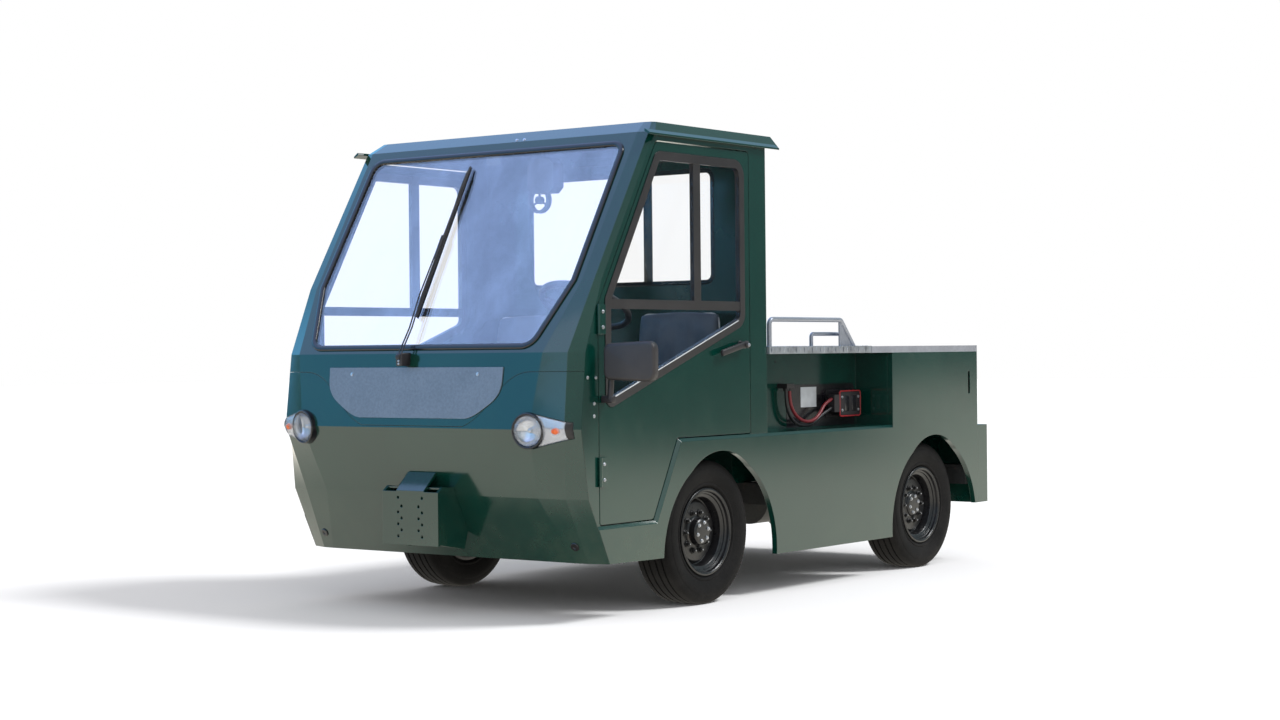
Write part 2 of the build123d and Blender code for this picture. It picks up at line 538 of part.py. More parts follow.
# ---------------------------------------------------------------- covers and grab rails
cover_back = box_front - 199
cover_wall = 5
cover = box((-skirt_half, skirt_half), (cab_back + fit, cover_back), (deck_z + rest, deck_z + cover_thick)) \
    - box((cover_wall - skirt_half, skirt_half - cover_wall), (cab_back + fit + cover_wall, cover_back - cover_wall),
          (deck_z - 1, deck_z + cover_thick - 2 * cover_wall))
save("battery_cover", cover)
lid = box((-skirt_half, skirt_half), (cover_back + fit, body_back), (deck_z, deck_z + cover_thick - 2)) \
    - box((cover_wall - skirt_half, skirt_half - cover_wall), (cover_back + fit + cover_wall, body_back - cover_wall),
          (deck_z - 1, deck_z + cover_thick - 2 - 2 * cover_wall))
save("rear_lid", lid)

rail_x, rail_top = skirt_half - 38, deck_z + cover_thick + 124
rail_bend, rail_foot = cover_back - 222, cover_back - 107
grab = tube([(rail_x, cab_back + 61, deck_z + cover_thick), (rail_x, cab_back + 61, rail_top), (rail_x, rail_bend, rail_top),
             (rail_x, rail_foot, deck_z + cover_thick)], 11, 26)
web = across(outline([(rail_bend - 15, rail_top), (rail_bend, rail_top), (rail_foot, deck_z + cover_thick),
                      (rail_bend - 15, deck_z + cover_thick)]), rail_x - 3, rail_x + 3)
low_z = deck_z + cover_thick + 58
low_bar = tube([(rail_x - 46, rail_bend - 190, low_z - 70), (rail_x - 46, rail_bend - 190, low_z), (rail_x - 46, rail_bend + 50, low_z),
                (rail_x - 2, rail_bend + 50, low_z)], 9, 16)
deck_below = box((0, skirt_half + 62), (cab_back - 109, cover_back + 88), (deck_z - 190, deck_z + cover_thick))
both_sides("grab_rail", (grab + web + low_bar) - deck_below)

# ---------------------------------------------------------------- rear bumper and hitch
bumper = box((-skirt_half, skirt_half), (body_back, bumper_back), (tail_z, 706)) \
    - box((-skirt_half + 12, skirt_half - 12), (body_back - 1, bumper_back - 16), (tail_z - 1, 694))
save("rear_bumper", bumper)

hitch_pin = 13
hitch_y = bumper_back + 78
hitch_levels = (352, 420, 488, 556)
hitch = box((-70, 70), (bumper_back, bumper_back + 18), (330, 590))
for level in hitch_levels:
    jaw = outline([(-60, bumper_back + 10), (60, bumper_back + 10), (60, hitch_y + 34, 30), (-60, hitch_y + 34, 30)])
    hitch += extrude(Plane.XY.offset(level) * jaw, 14)
hitch -= Pos(0, hitch_y, 460) * Cylinder(hitch_pin, 400)
save("rear_hitch", hitch)

# ---------------------------------------------------------------- battery connector and cables in the left recess
plug_y, plug_z, plug_proud = (box_front - 243, box_front - 61), (788, 900), 58
plug_body = box((recess_x, recess_x + plug_proud), plug_y, plug_z)
plug = chamfer(plug_body.edges().filter_by(Axis.X), 8)
plug += box((recess_x, recess_x + 4), (plug_y[0] - 46, plug_y[1] + 12), (plug_z[0] - 12, plug_z[1] + 12))     # mounting plate
plug += box((recess_x + 18, recess_x + plug_proud), (plug_y[0] - 56, plug_y[0]), (plug_z[0] + 16, plug_z[1] - 12))     # cable clamp
save("battery_connector", plug)

gland_z = 915             # mouth of the glands that the cables hang from
gland = box((recess_x, recess_x + 56), (792, 856), (gland_z + 12, gland_z + 34))
cable_radius = 8
# Battery cables, hung from the glands to the connector's clamp. Columns: x, station, height
red_route = [
    (recess_x + 40, 838, gland_z), (recess_x + 40, 838, 862), (recess_x + 46, 868, 806), (recess_x + 52, 922, 772),
    (recess_x + 54, 988, 764), (recess_x + 52, 1052, 778), (recess_x + 48, 1104, 812), (recess_x + 42, 1150, 850),
    (recess_x + 40, 1216, 868),
]
black_route = [
    (recess_x + 38, 810, gland_z), (recess_x + 38, 810, 856), (recess_x + 40, 836, 796), (recess_x + 43, 884, 758),
    (recess_x + 44, 950, 747), (recess_x + 44, 1016, 751), (recess_x + 42, 1080, 772), (recess_x + 40, 1136, 800),
    (recess_x + 40, 1216, 826),
]


def cable(route):
    """A round cable: straight runs joined by arcs as large as the runs allow."""
    points = [Vector(*point) for point in route]
    runs = [after - before for before, after in zip(points, points[1:])]
    radii = [0.45 * min(one.length, two.length) / tan(radians(one.get_angle(two)) / 2) for one, two in zip(runs, runs[1:])]
    print("cable bends", [round(radius) for radius in radii])
    path = FilletPolyline(*points, radius=radii)
    return sweep(Plane(origin=path @ 0, z_dir=path % 0) * Circle(cable_radius), path=path)


for name, route in (("red", red_route), ("black", black_route)):
    x, station, _ = route[0]
    gland += Pos(x, station, gland_z + 6) * Cylinder(13, 12)
    save(f"cable_{name}", cable(route) - plug)
save("cable_gland", gland)
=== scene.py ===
import math

import bmesh
import bpy
from mathutils import Matrix, Vector


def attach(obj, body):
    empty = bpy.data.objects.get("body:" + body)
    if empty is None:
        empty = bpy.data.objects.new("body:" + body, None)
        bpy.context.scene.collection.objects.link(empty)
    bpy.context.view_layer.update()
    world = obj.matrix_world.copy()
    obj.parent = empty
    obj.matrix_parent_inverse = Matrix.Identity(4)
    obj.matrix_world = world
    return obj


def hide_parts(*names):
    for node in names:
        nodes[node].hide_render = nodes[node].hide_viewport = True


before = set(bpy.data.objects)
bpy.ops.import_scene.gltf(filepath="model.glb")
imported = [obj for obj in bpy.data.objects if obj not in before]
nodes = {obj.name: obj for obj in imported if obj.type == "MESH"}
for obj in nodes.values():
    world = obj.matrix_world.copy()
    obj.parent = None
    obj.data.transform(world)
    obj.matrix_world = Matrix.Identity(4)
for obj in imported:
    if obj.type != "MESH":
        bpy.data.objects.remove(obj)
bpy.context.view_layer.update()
print("frame loaded,", len(nodes), "nodes")


# A socket that can be added, multiplied and so on: each step adds its Math node
class Signal:
    def __init__(self, shader, socket):
        self.shader = shader
        self.socket = socket

    def maths(self, operation, first, second):
        return self.shader.add("Math", {0: first, 1: second}, operation=operation)

    def __add__(self, other):
        return self.maths("ADD", self, other)

    def __sub__(self, other):
        return self.maths("SUBTRACT", self, other)

    def __rsub__(self, other):
        return self.maths("SUBTRACT", other, self)

    def __mul__(self, other):
        return self.maths("MULTIPLY", self, other)

    def __pow__(self, other):
        return self.maths("POWER", self, other)


# One node tree, of a material or the world, with a method that makes any node
class Shader:
    def __init__(self, owner, coordinates="Object"):
        owner.use_nodes = True
        self.owner = owner
        self.tree = owner.node_tree
        self.tree.nodes.clear()
        self.place = self.add("TexCoord", output=coordinates)

    def add(self, kind, inputs=None, output=0, **settings):
        node = self.tree.nodes.new("ShaderNode" + kind)
        for key, value in settings.items():
            setattr(node, key, value)
        for key, value in (inputs or {}).items():
            if isinstance(value, Signal):
                self.tree.links.new(value.socket, node.inputs[key])
            else:
                node.inputs[key].default_value = value
        return Signal(self, node.outputs[output] if node.outputs else None)

    def axis(self, letter):
        return self.add("SeparateXYZ", {0: self.place}, letter)

    def stretched(self, scale, turn=(0, 0, 0)):
        return self.add("Mapping", {"Vector": self.place, "Scale": scale, "Rotation": turn})

    def noise(self, scale, detail=3, roughness=0.55, where=None):
        where = where or self.place
        return self.add("TexNoise", {"Vector": where, "Scale": scale, "Detail": detail, "Roughness": roughness})

    def band(self, value, low, high, start=0, end=1):
        return self.add("MapRange", {"Value": value, "From Min": low, "From Max": high, "To Min": start, "To Max": end},
                        interpolation_type="SMOOTHSTEP")

    def mixed(self, factor, one, two):
        return self.add("Mix", {0: factor, 6: one, 7: two}, 2, data_type="RGBA")

    def bump(self, height, distance, strength=1, normal=None):
        inputs = {"Height": height, "Distance": distance, "Strength": strength}
        if normal:
            inputs["Normal"] = normal
        return self.add("Bump", inputs)

    def softEdges(self, radius):
        return self.add("Bevel", {"Radius": radius}, samples=4)

    def surface(self, **inputs):
        named = {key.replace("_", " "): value for key, value in inputs.items()}
        body = self.add("BsdfPrincipled", named)
        self.add("OutputMaterial", {"Surface": body})
        return self.owner


def newShader(name):
    return Shader(bpy.data.materials.new(name))


def rgb(red, green, blue):
    return tuple((value / 255) ** 2.2 for value in (red, green, blue)) + (1,)


paintSizes = {"peel": 0.00006, "peelScale": 260, "edge": 0.0025, "dustTop": 0.75}


def glossPaint(name, colour, dust, roughness=0.1):
    shader = newShader(name)
    cloud = shader.noise(1.7, 4)
    fine = shader.noise(14, 4, 0.6)
    low = 1 - shader.band(shader.axis("Z"), 0.1, paintSizes["dustTop"])
    film = shader.band(cloud * 0.6 + fine * 0.4, 0.42, 0.72) * (low * 0.1 + 0.02)
    deep = tuple(value * 0.82 for value in colour[:3]) + (1,)
    base = shader.mixed(shader.band(cloud, 0.3, 0.7), deep, colour)
    normal = shader.bump(shader.noise(paintSizes["peelScale"], 2), paintSizes["peel"], 0.35,
                         shader.softEdges(paintSizes["edge"]))
    return shader.surface(Base_Color=shader.mixed(film, base, dust), Roughness=film * 0.5 + fine * 0.05 + roughness,
                          IOR=1.6, Normal=normal)


def satinMetal(name, colour, metallic, roughness, grain=60, wear=0.0, edge=0.0015):
    shader = newShader(name)
    brushed = shader.noise(grain, 4, 0.65)
    cloud = shader.noise(6, 4)
    light = tuple(min(value * 1.25 + 0.01, 1) for value in colour[:3]) + (1,)
    base = shader.mixed(shader.band(brushed * 0.6 + cloud * 0.4, 0.35, 0.68), colour, light)
    rust = rgb(96, 72, 58)
    base = shader.mixed(shader.band(shader.noise(19, 6, 0.75), 0.58, 0.75) * wear, base, rust)
    normal = shader.bump(brushed, 0.0001, 0.4, shader.softEdges(edge))
    return shader.surface(Base_Color=base, Metallic=metallic, Roughness=brushed * 0.18 + (roughness - 0.09),
                          Normal=normal)


def mouldedPlastic(name, colour, roughness=0.5, grain=420, depth=0.00022, edge=0.002):
    shader = newShader(name)
    pores = shader.add("TexVoronoi", {"Vector": shader.place, "Scale": grain})
    cloud = shader.noise(9, 4)
    faded = tuple(value * 1.5 + 0.004 for value in colour[:3]) + (1,)
    base = shader.mixed(shader.band(cloud, 0.35, 0.75) * 0.7, colour, faded)
    normal = shader.bump(pores, depth, 0.5, shader.softEdges(edge))
    return shader.surface(Base_Color=base, Roughness=cloud * 0.15 + (roughness - 0.07), Normal=normal)


def tyreRubber():
    shader = newShader("tyre rubber")
    cloud = shader.noise(7, 5, 0.6)
    specks = shader.noise(160, 3, 0.7)
    road = 1 - shader.band(shader.axis("Z"), 0.0, 0.5)
    dusty = shader.band(cloud * 0.7 + specks * 0.3, 0.36, 0.68) * (road * 0.25 + 0.3)
    base = shader.mixed(dusty, rgb(16, 15, 16), rgb(43, 41, 41))
    return shader.surface(Base_Color=base, Roughness=0.92 - specks * 0.2, Normal=shader.bump(specks, 0.0006, 0.6),
                          Specular_IOR_Level=0.22)


def clearGlass(name, tint, cover):
    shader = newShader(name)
    haze = shader.noise(2.6, 5, 0.65, shader.stretched((1.6, 1, 0.5), (0.5, 0.6, 0.3)))
    smear = shader.band(haze, 0.4, 0.72) * 0.05
    return shader.surface(Base_Color=tint, Metallic=1.0, Roughness=smear * 0.6 + 0.02,
                          Alpha=smear * min(cover * 8, 1) + cover)


def seatVinyl():
    shader = newShader("seat vinyl")
    grain = shader.add("TexVoronoi", {"Vector": shader.place, "Scale": 330}, feature="DISTANCE_TO_EDGE")
    cloud = shader.noise(5, 4)
    base = shader.mixed(shader.band(cloud, 0.35, 0.7), rgb(58, 66, 80), rgb(84, 92, 106))
    normal = shader.bump(shader.band(grain, 0, 0.12), 0.0003, 0.6)
    return shader.surface(Base_Color=base, Roughness=cloud * 0.2 + 0.34, Normal=normal)


def treadMetal():
    shader = newShader("tread plate")
    grime = shader.noise(11, 5, 0.65)
    fine = shader.noise(90, 3)
    base = shader.mixed(shader.band(grime, 0.4, 0.72), rgb(176, 180, 188), rgb(128, 130, 136))
    crosswise = shader.stretched((1, 1, 1), (0, 0, 0.785))
    wave = shader.add("TexChecker", {"Vector": crosswise, "Scale": 62}, "Fac")
    normal = shader.bump(wave * 0.6 + fine * 0.3, 0.0006, 0.5, shader.softEdges(0.0015))
    return shader.surface(Base_Color=base, Metallic=0.85, Roughness=grime * 0.25 + 0.22, Normal=normal)


def cableSkin(name, colour):
    shader = newShader(name)
    scuff = shader.noise(46, 5, 0.7)
    pale = tuple(value * 0.7 + 0.06 for value in colour[:3]) + (1,)
    base = shader.mixed(shader.band(scuff, 0.52, 0.78) * 0.6, colour, pale)
    return shader.surface(Base_Color=base, Roughness=scuff * 0.25 + 0.3, Normal=shader.bump(scuff, 0.0003, 0.4))


def ribbedLens(name, colour, cover, ribs):
    shader = newShader(name)
    wave = shader.add("TexWave", {"Vector": shader.place, "Scale": ribs}, bands_direction="X")
    normal = shader.bump(wave, 0.0012, 0.8)
    return shader.surface(Base_Color=colour, Roughness=wave * 0.06 + 0.03, Alpha=wave * 0.1 + cover, Normal=normal)


looks = {
    "green": glossPaint("hunter green paint", rgb(13, 55, 48), rgb(112, 112, 92)),
    "plate": satinMetal("nose plate paint", rgb(100, 110, 124), 0.25, 0.38, 90),
    "gasket": mouldedPlastic("gasket rubber", rgb(26, 25, 29), 0.22, 260, 0.00004),
    "frame": mouldedPlastic("window frame coating", rgb(36, 33, 35), 0.45, 380),
    "plastic": mouldedPlastic("black plastic", rgb(33, 30, 33), 0.48),
    "mirrorShell": mouldedPlastic("mirror housing plastic", rgb(42, 39, 41), 0.5),
    "dash": mouldedPlastic("dash moulding", rgb(104, 114, 132), 0.5, 300),
    "windscreen": clearGlass("windscreen glass", (0.95, 0.94, 0.96, 1), 0.125),
    "doorGlass": clearGlass("door glass", (0.75, 0.88, 1, 1), 0.02),
    "mirrorGlass": satinMetal("mirror glass", (0.8, 0.83, 0.86, 1), 1.0, 0.1, edge=0.0005),
    "tyre": tyreRubber(),
    "rim": satinMetal("rim enamel", rgb(20, 20, 23), 0.1, 0.3, wear=0.25),
    "chassis": satinMetal("chassis paint", rgb(24, 25, 26), 0.0, 0.55, wear=0.35),
    "floor": mouldedPlastic("floor mat", rgb(46, 48, 50), 0.7, 160, 0.0006),
    "vinyl": seatVinyl(),
    "piping": mouldedPlastic("seat piping", rgb(178, 184, 190), 0.4),
    "tread": treadMetal(),
    "lid": satinMetal("lid paint", rgb(140, 143, 152), 0.4, 0.42, 70),
    "rail": satinMetal("rail steel", rgb(138, 142, 152), 0.55, 0.38, 120),
    "zinc": satinMetal("zinc bolts", rgb(168, 170, 176), 0.9, 0.36, 200),
    "chrome": satinMetal("reflector chrome", rgb(176, 178, 184), 1.0, 0.13, 30),
    "amber": ribbedLens("amber lens", rgb(235, 104, 40), 0.8, 40),
    "redLens": ribbedLens("red lens", rgb(160, 16, 18), 0.85, 40),
    "clearLens": ribbedLens("clear lens", (0.5, 0.55, 0.62, 1), 0.1, 3),
    "wingLens": ribbedLens("ribbed clear lens", (0.6, 0.64, 0.72, 1), 0.22, 46),
    "redCable": cableSkin("red cable skin", rgb(112, 26, 36)),
    "blackCable": cableSkin("black cable skin", rgb(26, 24, 28)),
    "redTrim": mouldedPlastic("red trim", rgb(140, 32, 38), 0.4),
    "battery": mouldedPlastic("battery case", rgb(40, 42, 46), 0.6),
}
# Looks of the nodes by the start of their names; the rest are green
nodeLooks = {
    "plate": ("nose_plate",), "gasket": ("windscreen_gasket", "rear_window_gasket"), "dash": ("dash",),
    "windscreen": ("windscreen_glass",), "doorGlass": ("rear_window_glass", "door_glass"),
    "frame": ("door_window_frame",), "mirrorShell": ("door_mirror",),
    "plastic": ("steering_column", "steering_wheel", "battery_connector", "cab_fan", "cable_gland", "wiper"),
    "chassis": ("chassis", "knuckle", "front_axle", "rear_axle", "tie_rod", "rear_hitch"),
    "battery": ("battery_block",), "floor": ("cab_floor",), "tread": ("battery_cover",), "lid": ("rear_lid",),
    "tyre": ("tyre",), "rim": ("wheel",), "rail": ("grab_rail",), "vinyl": ("seat",), "wingLens": ("headlamp",),
}
for node, thing in nodes.items():
    look = next((look for look, starts in nodeLooks.items() if node.startswith(starts)), "green")
    thing.data.materials.clear()
    thing.data.materials.append(looks[look])
print("materials made,", len(looks))


xAxis, zAxis = Vector((1, 0, 0)), Vector((0, 0, 1))
hands = (("left", 1), ("right", -1))


def placed(name, data):
    thing = bpy.data.objects.new(name, data)
    bpy.context.scene.collection.objects.link(thing)
    return thing


def around(count, shift=0.0):
    return [2 * math.pi * (k + shift) / count for k in range(count)]


def tilted(place, degrees):
    return Matrix.Translation(place) @ Matrix.Rotation(math.radians(degrees), 4, "X")


def moved(shape, turn):
    bmesh.ops.transform(shape, matrix=turn, verts=shape.verts)
    return shape


# Rounds the corners of a line of points: (a, b) is sharp, (a, b, radius) is round
def rounded(points, steps=5, closed=True):
    result = []
    count = len(points)
    for index, point in enumerate(points):
        here = Vector(point[:2])
        if len(point) < 3 or (not closed and index in (0, count - 1)):
            result.append(here)
            continue
        before = (Vector(points[index - 1][:2]) - here).normalized()
        after = (Vector(points[(index + 1) % count][:2]) - here).normalized()
        half = before.angle(after) / 2
        reach = point[2] / math.tan(half)
        centre = here + (before + after).normalized() * point[2] / math.sin(half)
        first = here + before * reach - centre
        second = here + after * reach - centre
        for step in range(steps + 1):
            result.append(centre + first.slerp(second, step / steps).normalized() * point[2])
    return result


def corners(left, right, low, high, radius):
    return [(left, low, radius), (right, low, radius), (right, high, radius), (left, high, radius)]


def outward(shape):
    bmesh.ops.recalc_face_normals(shape, faces=shape.faces)
    return shape


# A line of (offset along the axis, radius) turned about the axis
def spun(profile, centre, axis, steps=96):
    shape = bmesh.new()
    axis = Vector(axis).normalized()
    side = axis.orthogonal().normalized()
    points = [shape.verts.new(Vector(centre) + axis * offset + side * radius)
              for offset, radius in rounded(profile, 3, closed=False)]
    edges = [shape.edges.new(pair) for pair in zip(points, points[1:])]
    bmesh.ops.spin(shape, geom=points + edges, cent=centre, axis=axis, angle=2 * math.pi, steps=steps)
    bmesh.ops.remove_doubles(shape, verts=shape.verts, dist=0.00001)
    return outward(shape)


def slab(outline, origin, across, up, depth):
    shape = bmesh.new()
    across, up = Vector(across).normalized(), Vector(up).normalized()
    face = shape.faces.new([shape.verts.new(Vector(origin) + across * a + up * b) for a, b in outline])
    grown = bmesh.ops.extrude_face_region(shape, geom=[face])["geom"]
    shift = across.cross(up) * depth
    bmesh.ops.translate(shape, vec=shift, verts=[item for item in grown if isinstance(item, bmesh.types.BMVert)])
    return outward(shape)


def softBlock(low, high, radius, steps=3):
    shape = bmesh.new()
    bmesh.ops.create_cube(shape, size=1)
    for point in shape.verts:
        point.co = Vector((low[k] + (point.co[k] + 0.5) * (high[k] - low[k]) for k in range(3)))
    bmesh.ops.bevel(shape, geom=shape.edges, offset=radius, segments=steps, profile=0.5, affect="EDGES")
    return shape


def joinRings(shape, pairs):
    for one, two in pairs:
        for k, point in enumerate(one):
            after = (k + 1) % len(one)
            shape.faces.new((point, one[after], two[after], two[k]))


# A round bar along points, of one radius or one for each point
def hose(points, radius, sides=12, closed=False):
    shape = bmesh.new()
    points = [Vector(point) for point in points]
    radii = radius if isinstance(radius, tuple) else [radius] * len(points)
    last = len(points) - 1
    rings = []
    normal = None
    for index, (point, width) in enumerate(zip(points, radii)):
        before = points[index - 1] if index or closed else point
        after = points[(index + 1) % len(points)] if index < last or closed else point
        tangent = (after - before).normalized()
        normal = tangent.orthogonal() if normal is None else normal - tangent * normal.dot(tangent)
        normal.normalize()
        other = tangent.cross(normal)
        rings.append([shape.verts.new(point + (normal * math.cos(t) + other * math.sin(t)) * width)
                      for t in around(sides)])
    joinRings(shape, zip(rings, rings[1:]))
    if closed:
        joinRings(shape, [(rings[-1], rings[0])])
    else:
        shape.faces.new(rings[0][::-1])
        shape.faces.new(rings[-1])
    return outward(shape)


# A moulding of one section along a closed flat path: section rows are (inwards, out)
def moulding(path, normal, section):
    shape = bmesh.new()
    normal = Vector(normal).normalized()
    middle = sum(path, Vector()) / len(path)
    rings = []
    for index, point in enumerate(path):
        tangent = (path[(index + 1) % len(path)] - path[index - 1]).normalized()
        inward = normal.cross(tangent)
        inward = inward if inward.dot(middle - point) > 0 else -inward
        rings.append([shape.verts.new(point + inward * a + normal * b) for a, b in section])
    joinRings(shape, zip(rings, rings[1:] + rings[:1]))
    return outward(shape)


# Gathers shapes of several looks into one piece that rides on a body
class Model:
    def __init__(self, name, body, slotName, *lookNames):
        self.name, self.body, self.slotName, self.lookNames = name, body, slotName, lookNames
        self.shape = bmesh.new()

    def take(self, shape, look=0, mirrored=False):
        mesh = bpy.data.meshes.new("part")
        if mirrored:
            bmesh.ops.scale(shape, vec=(-1, 1, 1), verts=shape.verts)
            bmesh.ops.reverse_faces(shape, faces=shape.faces)
        shape.to_mesh(mesh)
        shape.free()
        for face in mesh.polygons:
            face.material_index = look
        self.shape.from_mesh(mesh)
        bpy.data.meshes.remove(mesh)
        return self

    def build(self, *replaced, sharp=32):
        for face in self.shape.faces:
            face.smooth = True
        for edge in self.shape.edges:
            edge.smooth = len(edge.link_faces) != 2 or edge.calc_face_angle(0) < math.radians(sharp)
        mesh = bpy.data.meshes.new(self.name)
        self.shape.to_mesh(mesh)
        self.shape.free()
        for look in self.lookNames:
            mesh.materials.append(looks[look])
        piece = placed(self.name, mesh)
        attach(piece, self.body)
        if replaced:
            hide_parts(*replaced)
        return piece


# A Geometry Nodes group: its input sockets, a method that makes any node, and the copies on the points
class Grower:
    def __init__(self, name, sockets):
        self.tree = bpy.data.node_groups.new(name, "GeometryNodeTree")
        for label, kind in sockets.items():
            self.tree.interface.new_socket(label, in_out="INPUT", socket_type=f"NodeSocket{kind}")
        self.tree.interface.new_socket("Geometry", in_out="OUTPUT", socket_type="NodeSocketGeometry")
        self.given = self.node("NodeGroupInput").outputs

    def node(self, kind, links=None, **settings):
        made = self.tree.nodes.new(kind)
        for key, value in settings.items():
            setattr(made, key, value)
        for key, value in (links or {}).items():
            if isinstance(value, bpy.types.NodeSocket):
                self.tree.links.new(value, made.inputs[key])
            else:
                made.inputs[key].default_value = value
        return made

    def attribute(self, name):
        named = self.node("GeometryNodeInputNamedAttribute", {"Name": name}, data_type="FLOAT_VECTOR")
        return named.outputs["Attribute"]

    def share(self, socket, factor):
        return self.node("ShaderNodeMath", {0: socket, 1: factor}, operation="MULTIPLY").outputs[0]

    def spread(self, shape, turn):
        copies = self.node("GeometryNodeInstanceOnPoints",
                           {"Points": self.given["Geometry"], "Instance": shape, "Rotation": turn})
        solid = self.node("GeometryNodeRealizeInstances", {0: copies.outputs[0]})
        painted = self.node("GeometryNodeSetMaterial",
                            {"Geometry": solid.outputs[0], "Material": self.given["Finish"]})
        self.node("NodeGroupOutput", {0: painted.outputs[0]})
        return self.tree


# Washer, nut and stud end as shares of the radius, the first two also of the height
fastenerSizes = {"washer": 1.35, "washerHigh": 0.3, "washerSides": 20, "nut": 1.0, "nutRise": 0.7, "stud": 0.55,
                 "studSides": 12}


def fastenerTree():
    grower = Grower("fasteners", {"Geometry": "Geometry", "Radius": "Float", "Height": "Float", "Stud": "Float",
                                  "Sides": "Int", "Finish": "Material"})
    given, node, share = grower.given, grower.node, grower.share

    def disc(radiusShare, height, rise, sides):
        radius = share(given["Radius"], radiusShare)
        drum = node("GeometryNodeMeshCylinder", {"Vertices": sides, "Radius": radius, "Depth": height})
        shift = node("ShaderNodeCombineXYZ", {"Z": rise}).outputs[0]
        return node("GeometryNodeTransform", {"Geometry": drum.outputs["Mesh"], "Translation": shift}).outputs[0]

    s = fastenerSizes
    high, stud = given["Height"], given["Stud"]
    join = node("GeometryNodeJoinGeometry")
    for part in (disc(s["washer"], share(high, s["washerHigh"]), share(high, s["washerHigh"] / 2), s["washerSides"]),
                 disc(s["nut"], high, share(high, s["nutRise"]), given["Sides"]),
                 disc(s["stud"], stud, share(stud, 0.5), s["studSides"])):
        grower.tree.links.new(part, join.inputs[0])
    turn = node("FunctionNodeAlignRotationToVector", {"Vector": grower.attribute("aim")}, axis="Z").outputs[0]
    return grower.spread(join.outputs[0], turn)


fasteners = fastenerTree()


def pointMesh(name, places, label, vectors):
    mesh = bpy.data.meshes.new(name)
    mesh.from_pydata(places, [], [])
    layer = mesh.attributes.new(label, "FLOAT_VECTOR", "POINT")
    for index, vector in enumerate(vectors):
        layer.data[index].vector = vector
    return mesh


def grown(name, mesh, tree, values, body, slotName):
    holder = placed(name + "_points", mesh)
    modifier = holder.modifiers.new("grow", "NODES")
    modifier.node_group = tree
    sockets = {item.name: item.identifier for item in tree.interface.items_tree if item.in_out == "INPUT"}
    for key, value in values.items():
        modifier[sockets[key]] = value
    ready = holder.evaluated_get(bpy.context.evaluated_depsgraph_get())
    result = bpy.data.meshes.new_from_object(ready)
    bpy.data.objects.remove(holder)
    piece = placed(name, result)
    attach(piece, body)
    return piece


# Size is (radius, height, stud end); places are (point, aim)
def fastenerRow(name, places, size, body, slotName, look="zinc", sides=6):
    mesh = pointMesh(name, [place for place, aim in places], "aim", [aim for place, aim in places])
    values = dict(zip(("Radius", "Height", "Stud"), size), Sides=sides, Finish=looks[look])
    return grown(name, mesh, fasteners, values, body, slotName)


# Wheels: ribbed tyre, split rim and studs
wheelSizes = {
    "x": 0.69, "base": 1.905, "radius": 0.316, "bead": 0.0725, "seat": 0.179, "shoulder": 0.074, "crown": 0.0035,
    "grooves": (0.05, 0.018, -0.018, -0.05), "grooveWide": 0.008, "grooveFoot": 0.7, "grooveDeep": 0.009,
    "disc": 0.024, "hubs": {"front": 0.062, "rear": 0.04}, "tyreSteps": 120,
    "studs": (10, 0.086), "nut": (0.0115, 0.011, 0.018), "studEnd": (0.0055, 0.004, 0.009),
    "capBolts": (6, 0.041), "capBolt": (0.0065, 0.005, 0.002),
}
tyreWall = [(0.0725, 0.1965), (0.079, 0.2), (0.0835, 0.206), (0.0835, 0.212), (0.0815, 0.214), (0.0885, 0.232),
            (0.093, 0.25), (0.095, 0.262), (0.0945, 0.276), (0.0935, 0.279), (0.0925, 0.28), (0.0915, 0.29),
            (0.087, 0.302), (0.0815, 0.3085)]
rimSeat = [(0.042, 0.157, 0.005), (0.05, 0.178, 0.004), (0.0728, 0.1785, 0.002), (0.073, 0.192, 0.003),
           (0.082, 0.192, 0.004)]
rimBack = [(-0.052, 0.15, 0.006), (-0.06, 0.172, 0.004), (-0.082, 0.173, 0.002)]
rimFront = [(0.084, 0.184, 0.003), (0.079, 0.177, 0.003), (0.066, 0.1745, 0.003), (0.063, 0.167, 0.002),
            (0.056, 0.166, 0.002), (0.05, 0.151, 0.006)]


def tyreProfile():
    s = wheelSizes
    wall = [(s["bead"], s["seat"])] + tyreWall + [(s["shoulder"], s["radius"] - s["crown"])]
    tread = []
    for middle in s["grooves"]:
        top = s["radius"] - s["crown"] * (middle / s["shoulder"]) ** 2
        half, foot = s["grooveWide"] / 2, s["grooveWide"] / 2 * s["grooveFoot"]
        tread += [(middle + half, top), (middle + foot, top - s["grooveDeep"]), (middle - foot, top - s["grooveDeep"]),
                  (middle - half, top)]
    return wall + tread + [(-a, b) for a, b in wall[::-1]] + wall[:1]


def rimProfile(hub):
    disc = wheelSizes["disc"]
    inside = [(-0.016, 0), (-0.016, 0.062, 0.004), (disc - 0.012, 0.062, 0.006), (disc - 0.012, 0.126, 0.008),
              (disc - 0.04, 0.142, 0.006), (disc - 0.04, 0.15)]
    outside = [(disc - 0.026, 0.149, 0.006), (disc - 0.024, 0.146, 0.006), (disc, 0.13, 0.008), (disc, 0.07, 0.004),
               (disc + 0.004, 0.0605, 0.002), (hub - 0.006, 0.058, 0.003), (hub, 0.05, 0.003), (hub, 0)]
    return inside + rimBack + [(-a, b, corner) for a, b, corner in rimSeat[::-1]] + rimSeat + rimFront + outside


def wheelRing(centre, out, count, radius, offset, shift=0.0):
    return [(centre + out * offset + Vector((0, math.cos(t), math.sin(t))) * radius, out)
            for t in around(count, shift)]


